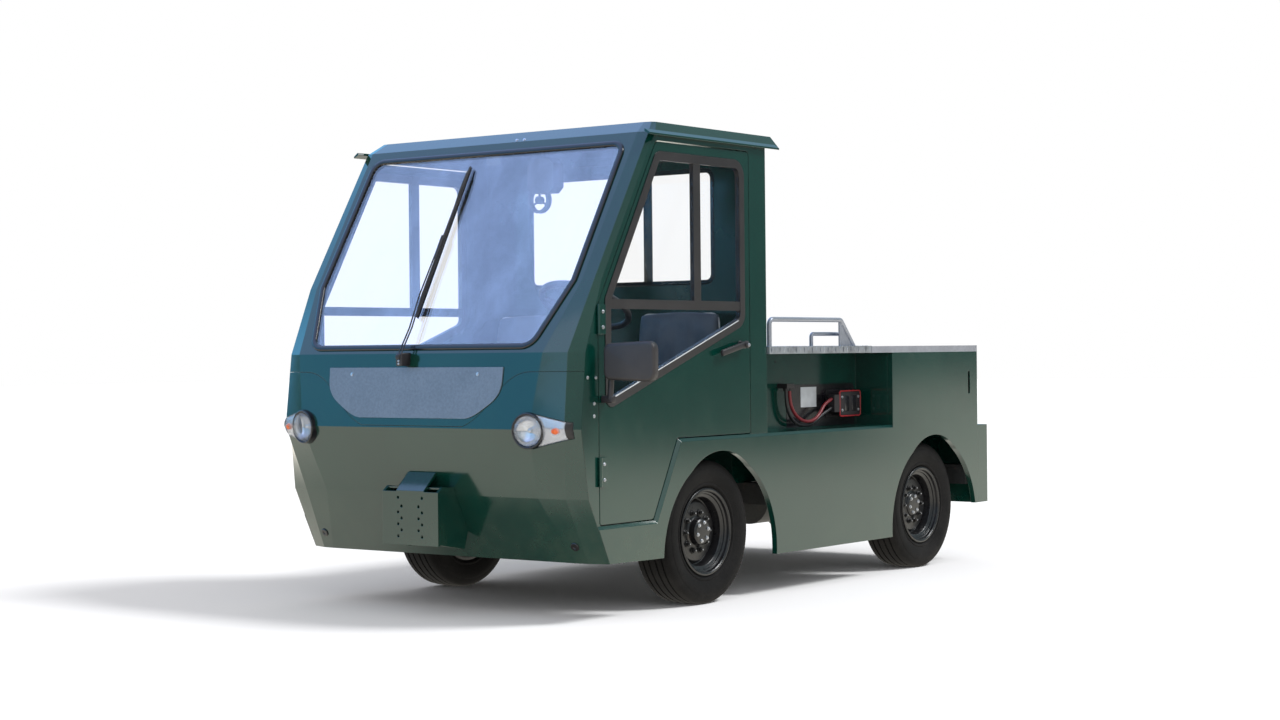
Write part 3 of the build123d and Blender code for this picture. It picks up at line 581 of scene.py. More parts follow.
def makeWheel(row, station, hand, sign):
    s = wheelSizes
    spot, hub = f"{row}_{hand}", s["hubs"][row]
    centre, out = Vector((sign * s["x"], station, s["radius"])), xAxis * sign
    body = f"wheel_{spot}"
    tyre = Model(f"ribbed_tyre_{spot}", body, "tyre", "tyre")
    tyre.take(spun(tyreProfile(), centre, out, s["tyreSteps"])).build(f"tyre_{spot}")
    rim = Model(f"split_rim_{spot}", body, "rim_black", "rim")
    rim.take(spun(rimProfile(hub), centre, out)).build(f"wheel_{spot}")
    nuts = wheelRing(centre, out, *s["studs"], s["disc"])
    fastenerRow(f"wheel_nuts_{spot}", nuts, s["nut"], body, "rim_black", "rim")
    ends = wheelRing(centre, out, *s["studs"], s["disc"] + s["nut"][1])
    fastenerRow(f"wheel_studs_{spot}", ends, s["studEnd"], body, "rim_black", sides=12)
    bolts = wheelRing(centre, out, *s["capBolts"], hub, 0.25)
    fastenerRow(f"hub_bolts_{spot}", bolts, s["capBolt"], body, "rim_black", sides=12)


for row, station in (("front", 0), ("rear", wheelSizes["base"])):
    for hand, sign in hands:
        makeWheel(row, station, hand, sign)
print("wheels made")

# Windscreen: a rounded rubber moulding on the leaning plane
screenSizes = {"foot": (-1.022, 1.108), "head": (-0.467, 2.03), "section": (0.026, 0.0105, 0.004)}
screenRows = [(-0.627, 1.122, 0.085), (0.627, 1.122, 0.085), (0.728, 1.4, 0.04), (0.728, 1.996, 0.07),
              (-0.728, 1.996, 0.07), (-0.728, 1.4, 0.04)]
screenFoot, screenHead = Vector((0, *screenSizes["foot"])), Vector((0, *screenSizes["head"]))
screenUp = (screenHead - screenFoot).normalized()
screenOut = xAxis.cross(screenUp)
screenRise = (screenSizes["head"][1] - screenSizes["foot"][1]) / (screenHead - screenFoot).length


def alongScreen(z):
    return (z - screenSizes["foot"][1]) / screenRise


def onScreen(x, z, out=0.0):
    return screenFoot + Vector((x, 0, 0)) + screenUp * alongScreen(z) + screenOut * out


def rubberSection(wide, proud, lip):
    arc = [math.pi * k / 8 for k in range(9)]
    dome = [(wide / 2 - math.cos(t) * wide / 2, proud * (0.35 + 0.65 * math.sin(t))) for t in arc]
    return dome + [(wide, -lip), (wide - 0.006, -lip), (wide - 0.012, 0.0004), (0, 0.0004)]


outline = rounded([(x, alongScreen(z), corner) for x, z, corner in screenRows], 8)
path = [screenFoot + Vector((a, 0, 0)) + screenUp * b for a, b in outline]
gasket = Model("windscreen_rubber", "root", "black_rubber", "gasket")
gasket.take(moulding(path, screenOut, rubberSection(*screenSizes["section"])))
gasket.build("windscreen_gasket", sharp=50)
print("windscreen made")

# The nose's outside. Rows: height, station of the flat, its half width, half width and station of the fold, of the side
noseFolds = [
    (0.243, -0.822, 0.69, 0.752, -0.816, 0.838, -0.784), (0.513, -0.95, 0.6, 0.736, -0.94, 0.833, -0.915),
    (0.797, -1.056, 0.64, 0.788, -1.012, 0.825, -0.948), (1.108, -1.022, 0.688, 0.783, -0.978, 0.825, -0.915),
    (1.4, -0.846, 0.754, 0.806, -0.832, 0.825, -0.805), (2.03, -0.467, 0.762, 0.808, -0.45, 0.825, -0.425),
]


def noseStation(x, z):
    low, high = next((pair for pair in zip(noseFolds, noseFolds[1:]) if z <= pair[1][0]), noseFolds[-2:])
    share = (z - low[0]) / (high[0] - low[0])
    _, flat, flatHalf, foldHalf, fold, sideHalf, side = (a + (b - a) * share for a, b in zip(low, high))
    x = abs(x)
    if x < flatHalf:
        return flat
    if x < foldHalf:
        return flat + (fold - flat) * (x - flatHalf) / (foldHalf - flatHalf)
    return fold + (side - fold) * min((x - foldHalf) / (sideHalf - foldHalf), 1)


def onNose(x, z, out=0.0):
    step = 0.004
    slopeX = (noseStation(x + step, z) - noseStation(x - step, z)) / (2 * step)
    slopeZ = (noseStation(x, z + step) - noseStation(x, z - step)) / (2 * step)
    aim = Vector((slopeX, -1, slopeZ)).normalized()
    return Vector((x, noseStation(x, z), z)) + aim * out, aim


# A closed pad over the nose between columns of (x, low, high), proud by out and rounded off at its rims
def nosePad(columns, out, back, rows=12):
    shape = bmesh.new()
    last = len(columns) - 1
    fronts, backs = [], []
    for index, (x, low, high) in enumerate(columns):
        front, rear = [], []
        for step in range(rows + 1):
            z = low + (high - low) * step / rows
            rim = (1 - abs(2 * step / rows - 1) ** 6) * (1 - (index / last) ** 10)
            rear.append(shape.verts.new((x, noseStation(x, z) + back, z)))
            front.append(shape.verts.new((x, noseStation(x, z) - out * (0.35 + 0.65 * rim), z)))
        fronts.append(front)
        backs.append(rear)
    joinRings(shape, [(one[::-1] + two, three[::-1] + four)
                      for one, two, three, four in zip(fronts, backs, fronts[1:], backs[1:])])
    for index in (0, last):
        for step in range(rows):
            shape.faces.new((fronts[index][step], fronts[index][step + 1], backs[index][step + 1], backs[index][step]))
    return outward(shape)


# Headlamps: dark bezel, reflector and domed lens, then a ribbed wing with an amber bulb and a black tip
lampSizes = {
    "x": 0.634, "z": 0.793, "aim": (0.16, -1, -0.05), "seat": 0.002, "steps": 64,
    "bezel": [(-0.03, 0.0735), (0.008, 0.0735, 0.003), (0.0125, 0.0685, 0.004), (0.006, 0.0635), (-0.03, 0.0625),
              (-0.03, 0.0735)],
    "bowl": [(-0.036, 0), (-0.034, 0.018), (-0.029, 0.034), (-0.019, 0.049), (-0.004, 0.0595), (0.0035, 0.0632),
             (0.0005, 0.0635), (-0.022, 0.053), (-0.034, 0.034), (-0.039, 0.018), (-0.04, 0)],
    "bulb": [(-0.036, 0), (-0.036, 0.012), (-0.018, 0.012, 0.003), (-0.012, 0.008, 0.003), (-0.009, 0)],
    "dome": [(0.034, 0), (0.0325, 0.02), (0.028, 0.038), (0.021, 0.052), (0.012, 0.061), (0.004, 0.0635)],
    "domeWall": 0.003, "domeFoot": (0.001, 0.062),
    "amber": [(-0.012, 0), (-0.011, 0.008), (0.004, 0.015), (0.018, 0.011), (0.026, 0)], "amberX": 0.757,
}
wingSizes = {"radius": 0.073, "tip": 0.806, "tipHalf": 0.032, "columns": 14, "lens": (0.668, 0.793, 0.014, -0.006),
             "mirror": (0.672, 0.79, 0.001, 0.012, 0.004), "cap": (0.7935, 0.806, 0.014, 0.012)}


# Proud by out, and as deep as back: the wing's half height falls towards its tip
def lampWing(start, end, out, back, shrink=0.0):
    s = wingSizes
    columns = []
    for step in range(s["columns"] + 1):
        x = start + (end - start) * step / s["columns"]
        half = s["radius"] + (s["tipHalf"] - s["radius"]) * (x - lampSizes["x"]) / (s["tip"] - lampSizes["x"]) - shrink
        columns.append((x, lampSizes["z"] - half, lampSizes["z"] + half))
    return nosePad(columns, out, back)


def makeLamp(hand, flip):
    s = lampSizes
    centre = Vector((s["x"], noseStation(s["x"], s["z"]) + s["seat"], s["z"]))
    lamp = Model(f"lamp_{hand}", "root", "lamp", "gasket", "chrome", "clearLens", "wingLens", "amber", "plastic")
    lamp.take(spun(s["bezel"], centre, s["aim"], s["steps"]), 0, flip)
    lamp.take(spun(s["bowl"], centre, s["aim"], s["steps"]), 1, flip)
    lamp.take(spun(s["bulb"], centre, s["aim"], 32), 1, flip)
    inner = [(a - s["domeWall"], b * 0.95) for a, b in s["dome"][:-1]]
    lens = s["dome"] + [s["domeFoot"]] + inner[::-1]
    lamp.take(spun(lens, centre, s["aim"], s["steps"]), 2, flip)
    for part, look in (("lens", 3), ("mirror", 1), ("cap", 5)):
        lamp.take(lampWing(*wingSizes[part]), look, flip)
    place, _ = onNose(s["amberX"], s["z"], 0.003)
    lamp.take(spun(s["amber"], place, (-1, -0.3, 0), 32), 4, flip)
    lamp.build(f"headlamp_{hand}")


for hand, sign in hands:
    makeLamp(hand, sign < 0)
print("lamps made")

# Wiper: block foot with two bolts, two thin arms, blade with a spine and bridges
wiperSizes = {
    "x": -0.043, "foot": ((-0.06, -1.08, 1.056), (-0.026, -1.018, 1.112), 0.005),
    "pivot": ((-0.054, -1.09, 1.086), (-0.032, -1.05, 1.106), 0.004), "arm": 0.0032, "armGap": 0.007,
    "armFoot": (-1.08, 1.096), "armPath": ((-0.05, 1.2, 0.034, 1), (-0.066, 1.34, 0.036, 1), (-0.08, 1.6, 0.03, 0.6)),
    "clamp": ((-0.0738, 1.5, 0.031), (-0.0795, 1.6, 0.031)), "clampRadius": 0.0075,
    "bladeFoot": (-0.059, 1.255), "bladeTip": (-0.097, 1.92), "bladeSteps": 12,
    "bars": ((0.0165, 0.0042, 8, 0), (0.0065, 0.0035, 6, 1), (0.0115, 0.0035, 6, 1)),
    "bridges": ((0.02, 0.32), (0.24, 0.78), (0.68, 0.98)), "bridge": 0.0045, "bridgeEase": 0.04,
    "bridgeOuts": (0.017, 0.023, 0.0265, 0.023, 0.017), "boltRow": (1.066, 1.078), "bolt": (0.0035, 0.003, 0.001),
}


def onBlade(share, out):
    (lowX, lowZ), (highX, highZ) = wiperSizes["bladeFoot"], wiperSizes["bladeTip"]
    return onScreen(lowX + (highX - lowX) * share, lowZ + (highZ - lowZ) * share, out)


def makeWiper():
    s = wiperSizes
    wiper = Model("wiper_arms_and_blade", "root", "black_plastic", "plastic", "gasket")
    wiper.take(softBlock(*s["foot"]))
    wiper.take(softBlock(*s["pivot"]))
    for shift in (-s["armGap"], s["armGap"]):
        arm = [onScreen(x + shift * share, z, out) for x, z, out, share in s["armPath"]]
        wiper.take(hose([(s["x"] + shift, *s["armFoot"])] + arm, s["arm"], 10))
    wiper.take(hose([onScreen(*place) for place in s["clamp"]], s["clampRadius"], 10))
    for out, radius, sides, look in s["bars"]:
        bar = [onBlade(step / s["bladeSteps"], out) for step in range(s["bladeSteps"] + 1)]
        wiper.take(hose(bar, radius, sides), look)
    for start, end in s["bridges"]:
        shares = (start, start + s["bridgeEase"], (start + end) / 2, end - s["bridgeEase"], end)
        wiper.take(hose([onBlade(*place) for place in zip(shares, s["bridgeOuts"])], s["bridge"], 8))
    wiper.build("wiper")
    bolts = [((s["x"], s["armFoot"][0], z), (0, -1, 0)) for z in s["boltRow"]]
    fastenerRow("wiper_foot_bolts", bolts, s["bolt"], "root", "black_plastic")


makeWiper()
print("wiper made")

# Rear window moulding with its stile
rearSizes = {"outline": (-0.56, 0.56, 1.4, 1.96, 0.06), "face": 0.409, "section": (0.034, 0.0085, 0.004),
             "stile": ((0.141, 0.4075, 1.43), (0.189, 0.4165, 1.93), 0.003)}
r = rearSizes
path = [Vector((a, r["face"], b)) for a, b in rounded(corners(*r["outline"]), 8)]
seal = Model("rear_window_rubber", "root", "black_rubber", "gasket")
seal.take(moulding(path, (0, 1, 0), rubberSection(*r["section"])))
seal.take(softBlock(*r["stile"]))
seal.build("rear_window_gasket", sharp=50)

# Mirror on the driver's door: shell, glass and arm
mirrorSizes = {
    "place": (0.975, -0.812, 1.0685), "across": (1, 0.13, 0), "back": (-0.13, 1, 0), "deep": 0.046, "rim": 0.013,
    "shell": [(-0.118, -0.073, 0.03), (0.118, -0.0835, 0.034), (0.118, 0.0835, 0.034), (-0.118, 0.073, 0.03)],
    "glassShare": (0.9, 0.87), "glass": 0.004, "glassOut": 0.0008, "arm": 0.0125,
    "armPath": [(0.868, -0.812, 0.915), (0.872, -0.812, 0.96), (0.876, -0.812, 1.02)],
    "armFoot": ((0.826, -0.822, 0.9), (0.884, -0.79, 0.93), 0.006),
}


def makeMirror():
    s = mirrorSizes
    across, back, place = Vector(s["across"]), Vector(s["back"]).normalized(), Vector(s["place"])
    head = slab(rounded(s["shell"], 6), place + back * s["deep"] / 2, across, zAxis, s["deep"])
    rims = [edge for edge in head.edges
            if len(edge.link_faces) == 2 and any(len(face.verts) > 8 for face in edge.link_faces)]
    bmesh.ops.bevel(head, geom=rims, offset=s["rim"], segments=4, profile=0.5, affect="EDGES")
    mirror = Model("wing_mirror", "door_left", "black_plastic", "mirrorShell", "mirrorGlass", "plastic")
    mirror.take(head)
    pane = [(a * s["glassShare"][0], b * s["glassShare"][1], corner) for a, b, corner in s["shell"]]
    origin = place + back * (s["deep"] / 2 + s["glassOut"])
    mirror.take(slab(rounded(pane, 6), origin, across, zAxis, s["glass"]), 1)
    mirror.take(hose(s["armPath"], s["arm"], 16), 2)
    mirror.take(softBlock(*s["armFoot"]), 2)
    mirror.build("door_mirror")


makeMirror()

# Door furniture of both hands: lever, bead under the window, hinge bolts and corner bolts
doorSizes = {
    "face": 0.825, "lever": ((-0.0095, -0.104, -0.0135), (0.0095, 0.104, 0.0135), 0.006),
    "leverPlace": (0.855, 0.11, 1.118), "leverTurn": 12,
    "leverPad": ((0.8265, 0.178, 1.116), (0.853, 0.21, 1.148), 0.006),
    "knob": [(0, 0), (0, 0.02), (0.004, 0.02, 0.002), (0.006, 0.012), (0.03, 0.0115), (0.042, 0.015), (0.047, 0.011),
             (0.049, 0)],
    "knobPlace": (0.8255, 0.194, 1.132), "knobOut": 0.048, "pin": (0.006, 0.004, 0.003),
    "bead": [(-0.745, 0.918), (-0.3, 1.073), (0.18, 1.24)], "beadRadius": 0.0035, "beadOut": 0.0015,
    "hingeOut": 0.009, "hingeY": -0.81, "hinges": (0.56, 1.18), "hingeRises": (0.028, 0.092),
    "hingeBolt": (0.006, 0.004, 0.002), "cornerBolt": (0.0055, 0.003, 0.001),
    "corners": [(-0.904, 1.005), (-0.85, 1.004), (-0.862, 0.899), (-0.863, 0.848)],
}


def dressDoor(hand, sign):
    s = doorSizes
    body, flip, out = f"door_{hand}", sign < 0, (sign, 0, 0)
    lever = Model(f"door_lever_{hand}", body, "black_plastic", "plastic")
    lever.take(moved(softBlock(*s["lever"]), tilted(s["leverPlace"], s["leverTurn"])), 0, flip)
    lever.take(softBlock(*s["leverPad"]), 0, flip)
    lever.take(spun(s["knob"], s["knobPlace"], xAxis, 32), 0, flip)
    lever.build()
    x, y, z = s["knobPlace"]
    pin = [((sign * (x + s["knobOut"]), y, z), out)]
    fastenerRow(f"lever_pin_{hand}", pin, s["pin"], body, "black_plastic", sides=16)
    trim = Model(f"window_bead_{hand}", body, "black_plastic", "piping")
    trim.take(hose([(s["face"] + s["beadOut"], y, z) for y, z in s["bead"]], s["beadRadius"], 8), 0, flip)
    trim.build()
    places = [((sign * (s["face"] + s["hingeOut"]), s["hingeY"], low + rise), out)
              for low in s["hinges"] for rise in s["hingeRises"]]
    fastenerRow(f"hinge_bolts_{hand}", places, s["hingeBolt"], body, "green")
    places = [((sign * s["face"], y, z), out) for y, z in s["corners"]]
    fastenerRow(f"corner_bolts_{hand}", places, s["cornerBolt"], "root", "green")


for hand, sign in hands:
    dressDoor(hand, sign)
print("doors dressed")

# Bolts of the roof header and the nose plate, and the plugs of the undercut
boltSizes = {
    "roof": ((0.099, 0.142), -0.4615, 2.039), "roofAim": (0, -0.75, 0.65), "roofBolt": (0.006, 0.003, 0.001),
    "plate": (0.356, 1.021, 0.005), "plateBolt": (0.006, 0.0035, 0.001), "plug": (0.711, 0.314),
    "plugProfile": [(-0.002, 0), (-0.002, 0.019), (0.003, 0.019), (0.0055, 0.016), (0.0055, 0.008), (0.003, 0.006),
                    (0.003, 0)],
}
b = boltSizes
roofBolts = [((x, *b["roof"][1:]), b["roofAim"]) for x in b["roof"][0]]
fastenerRow("roof_header_bolts", roofBolts, b["roofBolt"], "root", "green")
plateBolts = [onNose(sign * b["plate"][0], *b["plate"][1:]) for sign in (-1, 1)]
fastenerRow("nose_plate_bolts", plateBolts, b["plateBolt"], "root", "plate_grey")
plugs = Model("undercut_plugs", "root", "black_rubber", "gasket")
for sign in (1, -1):
    place, aim = onNose(sign * b["plug"][0], b["plug"][1])
    plugs.take(spun(b["plugProfile"], place, aim, 40))
plugs.build()

# Steering wheel: round rim, three spokes and a hub cap
steerSizes = {
    "centre": (0.43, -0.41, 1.308), "lean": 28, "radius": 0.195, "grip": 0.0142, "spokes": (90, 210, 330),
    "spokePath": ((0.03, 0.026), (0.12, 0.02), (0.194, 0)), "spokeRadii": (0.013, 0.01, 0.009),
    "cap": [(-0.0375, 0), (-0.0375, 0.03), (-0.02, 0.044, 0.004), (-0.004, 0.044, 0.006), (0.002, 0.02, 0.008),
            (0.002, 0)],
}


def makeSteering():
    s = steerSizes
    lean = math.radians(s["lean"])
    up = Vector((0, math.sin(lean), math.cos(lean)))
    ahead = up.cross(xAxis)
    middle = Vector(s["centre"])
    turns = around(16)
    grip = [(s["grip"] * math.sin(t), s["radius"] + s["grip"] * math.cos(t)) for t in turns + [2 * math.pi]]
    steering = Model("steering_rim", "steering_wheel", "black_plastic", "plastic")
    steering.take(spun(grip, middle, up))
    for turn in s["spokes"]:
        arm = xAxis * math.cos(math.radians(turn)) + ahead * math.sin(math.radians(turn))
        steering.take(hose([middle + arm * far - up * drop for far, drop in s["spokePath"]], s["spokeRadii"]))
    steering.take(spun(s["cap"], middle, up, 40))
    steering.build("steering_wheel")


makeSteering()

# Seats: a pillow form with sewn channels and piping round its seam
seatSizes = {
    "x": 0.43, "channels": (-0.42, 0.0, 0.42), "channelWide": 0.022, "channelDeep": 0.1, "square": 5, "swell": 0.36,
    "crown": 0.12, "pinch": 0.055, "steps": 44, "piping": 0.0045, "pipingShare": 0.965, "pipingCorner": 0.04,
    "cushion": ((0.226, 0.243), 0.055, -0.006, 0.822, -4), "back": ((0.226, 0.24), 0.044, 0.287, 1.045, 89),
}


def pillowPoint(u, v, side, half, thick):
    s = seatSizes
    swell = max((1 - abs(u) ** s["square"]) * (1 - abs(v) ** s["square"]), 0) ** s["swell"]
    crown = 1 - s["crown"] * (u * u + v * v) / 2
    sewn = sum(math.exp(-((u - at) / s["channelWide"]) ** 2) for at in s["channels"]) * s["channelDeep"] * swell
    pinch = 1 - s["pinch"] * (u * v) ** 2
    dip = sewn if side > 0 else 0
    return u * half[0] * pinch, v * half[1] * pinch, side * thick * swell * (crown - dip)


def pillow(half, thick):
    shape = bmesh.new()
    steps = seatSizes["steps"]
    shares = [math.sin(math.pi / 2 * (2 * k / steps - 1)) for k in range(steps + 1)]
    for side in (1, -1):
        grid = [[shape.verts.new(pillowPoint(u, v, side, half, thick)) for v in shares] for u in shares]
        for one, two in zip(grid, grid[1:]):
            for j in range(steps):
                shape.faces.new((one[j], two[j], two[j + 1], one[j + 1]))
    bmesh.ops.remove_doubles(shape, verts=shape.verts, dist=0.00002)
    return outward(shape)


for hand, sign in hands:
    for part in ("cushion", "back"):
        s = seatSizes
        half, thick, y, z, tip = s[part]
        turn = tilted((sign * s["x"], y, z), tip)
        seat = Model(f"seat_{part}_pad_{hand}", "root", "seat_vinyl", "vinyl", "piping")
        seat.take(moved(pillow(half, thick), turn))
        a, b = (size * s["pipingShare"] for size in half)
        loop = [turn @ Vector((*point, 0)) for point in rounded(corners(-a, a, -b, b, s["pipingCorner"]), 6)]
        seat.take(hose(loop, s["piping"], 8, closed=True), 1)
        seat.build(f"seat_{part}_{hand}", sharp=60)
print("seats made")

# Cables in the left recess, hung from the glands to the connector
cableSizes = {"radius": 0.008, "red": 0.497, "black": 0.528}
cableRoutes = {
    "red": [(0.67, 0.838, 0.915), (0.67, 0.838, 0.862), (0.676, 0.868, 0.806), (0.682, 0.922, 0.772),
            (0.684, 0.988, 0.764), (0.682, 1.052, 0.778), (0.678, 1.104, 0.812), (0.672, 1.15, 0.85),
            (0.67, 1.216, 0.868)],
    "black": [(0.668, 0.81, 0.915), (0.668, 0.81, 0.856), (0.67, 0.836, 0.796), (0.673, 0.884, 0.758),
              (0.674, 0.95, 0.747), (0.674, 1.016, 0.751), (0.672, 1.08, 0.772), (0.67, 1.136, 0.8),
              (0.67, 1.216, 0.826)],
}
for name, route in cableRoutes.items():
    curve = bpy.data.curves.new(f"{name}_battery_cable", "CURVE")
    curve.dimensions = "3D"
    curve.bevel_depth = cableSizes["radius"]
    curve.bevel_resolution = 5
    curve.resolution_u = 10
    curve.use_fill_caps = True
    line = curve.splines.new("NURBS")
    line.points.add(len(route) - 1)
    for point, spot in zip(line.points, route):
        point.co = (*spot, 1)
    line.order_u = 3
    line.use_endpoint_u = True
    curve.materials.append(looks[name + "Cable"])
    cable = placed(f"{name}_battery_cable", curve)
    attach(cable, "root")
    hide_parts(f"cable_{name}")

# Connector: red outline, contacts and screws
plugSizes = {"x": 0.686, "outline": (1.263, 1.455, 0.783, 0.905, 0.012), "trim": 0.0035, "contacts": (1.325, 1.393),
             "contactHalf": 0.021, "contact": (0.68, 0.6905, 0.806, 0.882, 0.003), "screwX": 0.688,
             "screws": ((1.284, 1.434), (0.812, 0.876)), "screw": (0.0055, 0.003, 0.001)}
p = plugSizes
plug = Model("connector_trim", "root", "cable_red", "redTrim", "gasket")
plug.take(hose([(p["x"], a, b) for a, b in rounded(corners(*p["outline"]), 4)], p["trim"], 8, closed=True))
back, front, low, high, soft = p["contact"]
for y in p["contacts"]:
    plug.take(softBlock((back, y - p["contactHalf"], low), (front, y + p["contactHalf"], high), soft), 1)
plug.build()
screws = [((p["screwX"], y, z), xAxis) for y in p["screws"][0] for z in p["screws"][1]]
fastenerRow("connector_screws", screws, p["screw"], "root", "black_plastic")

# Recess: plug holes, a thin black sheet as the painted shade of the opening behind the cables, a blank label and a seam
# strip
recessSizes = {
    "holes": (0.62, 0.7, 0.78), "holeAt": (0.6305, 1.052),
    "hole": [(-0.001, 0), (-0.001, 0.006), (0.0015, 0.006), (0.0015, 0.004), (0, 0.0035), (0, 0)],
    "opening": [(0.87, 0.738), (1.49, 0.738), (1.49, 0.942, 0.03), (0.87, 0.942, 0.012)], "back": 0.6302,
    "deep": 0.0012,
    "label": ((0.631, 0.995, 0.832), (0.6328, 1.135, 0.929), 0.0006),
    "strip": ((0.716, 1.5075, 0.742), (0.728, 1.5108, 1.086), 0.001),
}
r = recessSizes
panel = Model("recess_details", "root", "green", "gasket", "piping", "rail")
for y in r["holes"]:
    panel.take(spun(r["hole"], (r["holeAt"][0], y, r["holeAt"][1]), xAxis, 24))
# painted shade: a thin black sheet on the back panel stands in for the dark opening behind the cables
panel.take(slab(rounded(r["opening"]), (r["back"], 0, 0), (0, 1, 0), zAxis, r["deep"]))
panel.take(softBlock(*r["label"]), 1)
panel.take(softBlock(*r["strip"]), 2)
panel.build()

# Tread plate: raised lozenges on the front cover and its lip, laid crosswise by turns
treadSizes = {"pitch": 0.034, "size": (0.0125, 0.0036, 0.0013), "half": 0.82, "front": 0.432, "back": 1.296,
              "top": 1.1242, "lip": 0.8382, "lipZ": 1.108, "topShare": 0.62, "feet": (0.47, 1.2), "footHalf": 0.03,
              "footX": 0.77}


def lozengeTree():
    grower = Grower("lozenges", {"Geometry": "Geometry", "Size": "Vector", "Finish": "Material"})
    cone = grower.node("GeometryNodeMeshCone", {"Vertices": 6, "Radius Top": treadSizes["topShare"],
                                                "Radius Bottom": 1, "Depth": 1})
    sized = grower.node("GeometryNodeTransform", {"Geometry": cone.outputs["Mesh"], "Scale": grower.given["Size"]})
    return grower.spread(sized.outputs[0], grower.attribute("turn"))


def layTread():
    t = treadSizes
    places, turns = [], []
    columns, rows = int((t["half"] * 2) / t["pitch"]), int((t["back"] - t["front"]) / t["pitch"])
    lines = [t["front"] + j * (t["back"] - t["front"]) / rows for j in range(rows + 1)]
    crosswise = (-math.pi / 4, math.pi / 4)
    for i in range(columns + 1):
        x = -t["half"] + i * 2 * t["half"] / columns
        for j, y in enumerate(lines):
            if abs(x) > t["footX"] and any(abs(y - foot) < t["footHalf"] for foot in t["feet"]):
                continue
            places.append((x, y, t["top"]))
            turns.append((0, 0, crosswise[(i + j) % 2]))
    for sign in (1, -1):
        for j, y in enumerate(lines):
            places.append((sign * t["lip"], y, t["lipZ"]))
            turns.append((crosswise[j % 2], math.pi / 2, 0))
    grown("tread_lozenges", pointMesh("lozenge_points", places, "turn", turns), lozengeTree(),
          {"Size": t["size"], "Finish": looks["tread"]}, "battery_cover", "deck_grey")
    print("tread made,", len(places), "lozenges")


layTread()

# Latch knobs, tail lamps, hitch pin and pedals
latchSizes = {"place": (0.754, 1.148, 1.182),
              "knob": [(0, 0), (0, 0.009), (0.012, 0.009), (0.02, 0.015, 0.004), (0.036, 0.015, 0.006), (0.04, 0)]}
latch = Model("latch_knobs", "battery_cover", "deck_grey", "plastic")
for sign in (1, -1):
    x, y, z = latchSizes["place"]
    latch.take(spun(latchSizes["knob"], (sign * x, y, z), (0, 1, 0), 32))
latch.build()
tailBlocks = [((0.6, 2.3895, 0.845), (0.76, 2.402, 0.915), 0.004), ((0.61, 2.4, 0.853), (0.7, 2.414, 0.907), 0.005),
              ((0.7, 2.4, 0.853), (0.75, 2.414, 0.907), 0.005)]
tails = Model("tail_lamps", "root", "lamp", "gasket", "redLens", "amber")
for flip in (False, True):
    for look, block in enumerate(tailBlocks):
        tails.take(softBlock(*block), look, flip)
tails.build()
pinSizes = {"y": 2.574, "ring": 0.026, "ringZ": 0.606, "wire": 0.0045,
            "shaft": [(0.33, 0), (0.33, 0.008), (0.338, 0.0115), (0.572, 0.0115), (0.572, 0.02, 0.002),
                      (0.584, 0.02, 0.003), (0.584, 0)]}
p = pinSizes
pin = Model("hitch_pin", "root", "chassis_black", "zinc")
pin.take(spun(p["shaft"], (0, p["y"], 0), zAxis, 32))
loop = [(0, p["y"] + p["ring"] * math.cos(a), p["ringZ"] + p["ring"] * math.sin(a)) for a in around(24)]
pin.take(hose(loop, p["wire"], 10, closed=True))
pin.build()
pedalSizes = {"pedals": ((0.52, 0.03), (0.4, 0.042)), "half": (0.012, 0.045), "soft": 0.004, "place": (0, -0.705, 0.6),
              "turn": 35, "stem": 0.008, "stemPath": ((-0.71, 0.6), (-0.76, 0.6), (-0.79, 0.72))}
p = pedalSizes
deep, tall = p["half"]
pedals = Model("pedals", "root", "black_plastic", "plastic", "chassis")
for x, wide in p["pedals"]:
    plate = softBlock((x - wide, -deep, -tall), (x + wide, deep, tall), p["soft"])
    pedals.take(moved(plate, tilted(p["place"], p["turn"])))
    pedals.take(hose([(x, y, z) for y, z in p["stemPath"]], p["stem"], 10), 1)
pedals.build()
print("small parts made")

# Camera
view = {"lens": 61.2, "azimuth": 36.61, "pitch": 0.25, "roll": -0.56, "place": (6.2173, -7.8071, 1.1119)}


def placeCamera():
    turn, tip, roll = (math.radians(view[key]) for key in ("azimuth", "pitch", "roll"))
    back = Vector((math.sin(turn) * math.cos(tip), -math.cos(turn) * math.cos(tip), math.sin(tip)))
    right = (-back).cross(zAxis).normalized()
    up = right.cross(-back)
    level = right * math.cos(roll) + up * math.sin(roll)
    upright = up * math.cos(roll) - right * math.sin(roll)
    lens = bpy.data.cameras.new("camera")
    lens.lens = view["lens"]
    lens.sensor_width = 36
    camera = placed("camera", lens)
    camera.matrix_world = Matrix.Translation(view["place"]) @ Matrix((level, upright, back)).transposed().to_4x4()
    bpy.context.scene.camera = camera


placeCamera()

# Light: a soft sky, three wide suns, a white surround and a pale floor. Suns: aim, strength, spread
lightSizes = {
    "sky": (0.62, 0.62, 0.6448, 1),
    "suns": {"key": ((-0.75, -0.5, -1.0), 2.1, 16), "fill": ((-0.5, 0.9, -0.45), 0.6, 70),
             "side": ((-0.85, 0.45, -0.25), 0.25, 60)},
    "aside": ((0.16, 0.19, 0.2, 1), (0.3, 0.42, 0.46, 1)),
    "ahead": ((0.12, 0.3, 0.42, 1), (0.36, 1.08, 1.9, 1), (0.86, 1.26, 2.25, 1)),
}
# The darkest floor colour is a painted shadow under the nose, seen only in the paint
floorSizes = {
    "half": 60, "seen": (0.97, 0.97, 0.97, 1), "near": (0.98, 0.94, 0.83, 1), "far": (0.16, 0.17, 0.17, 1),
    "under": (0.05, 0.06, 0.06, 1), "fades": (8.5, 19), "glow": 1.8, "glossShare": 0.6,
}


def ray(shader, kind):
    return shader.add("LightPath", output=f"Is {kind} Ray")


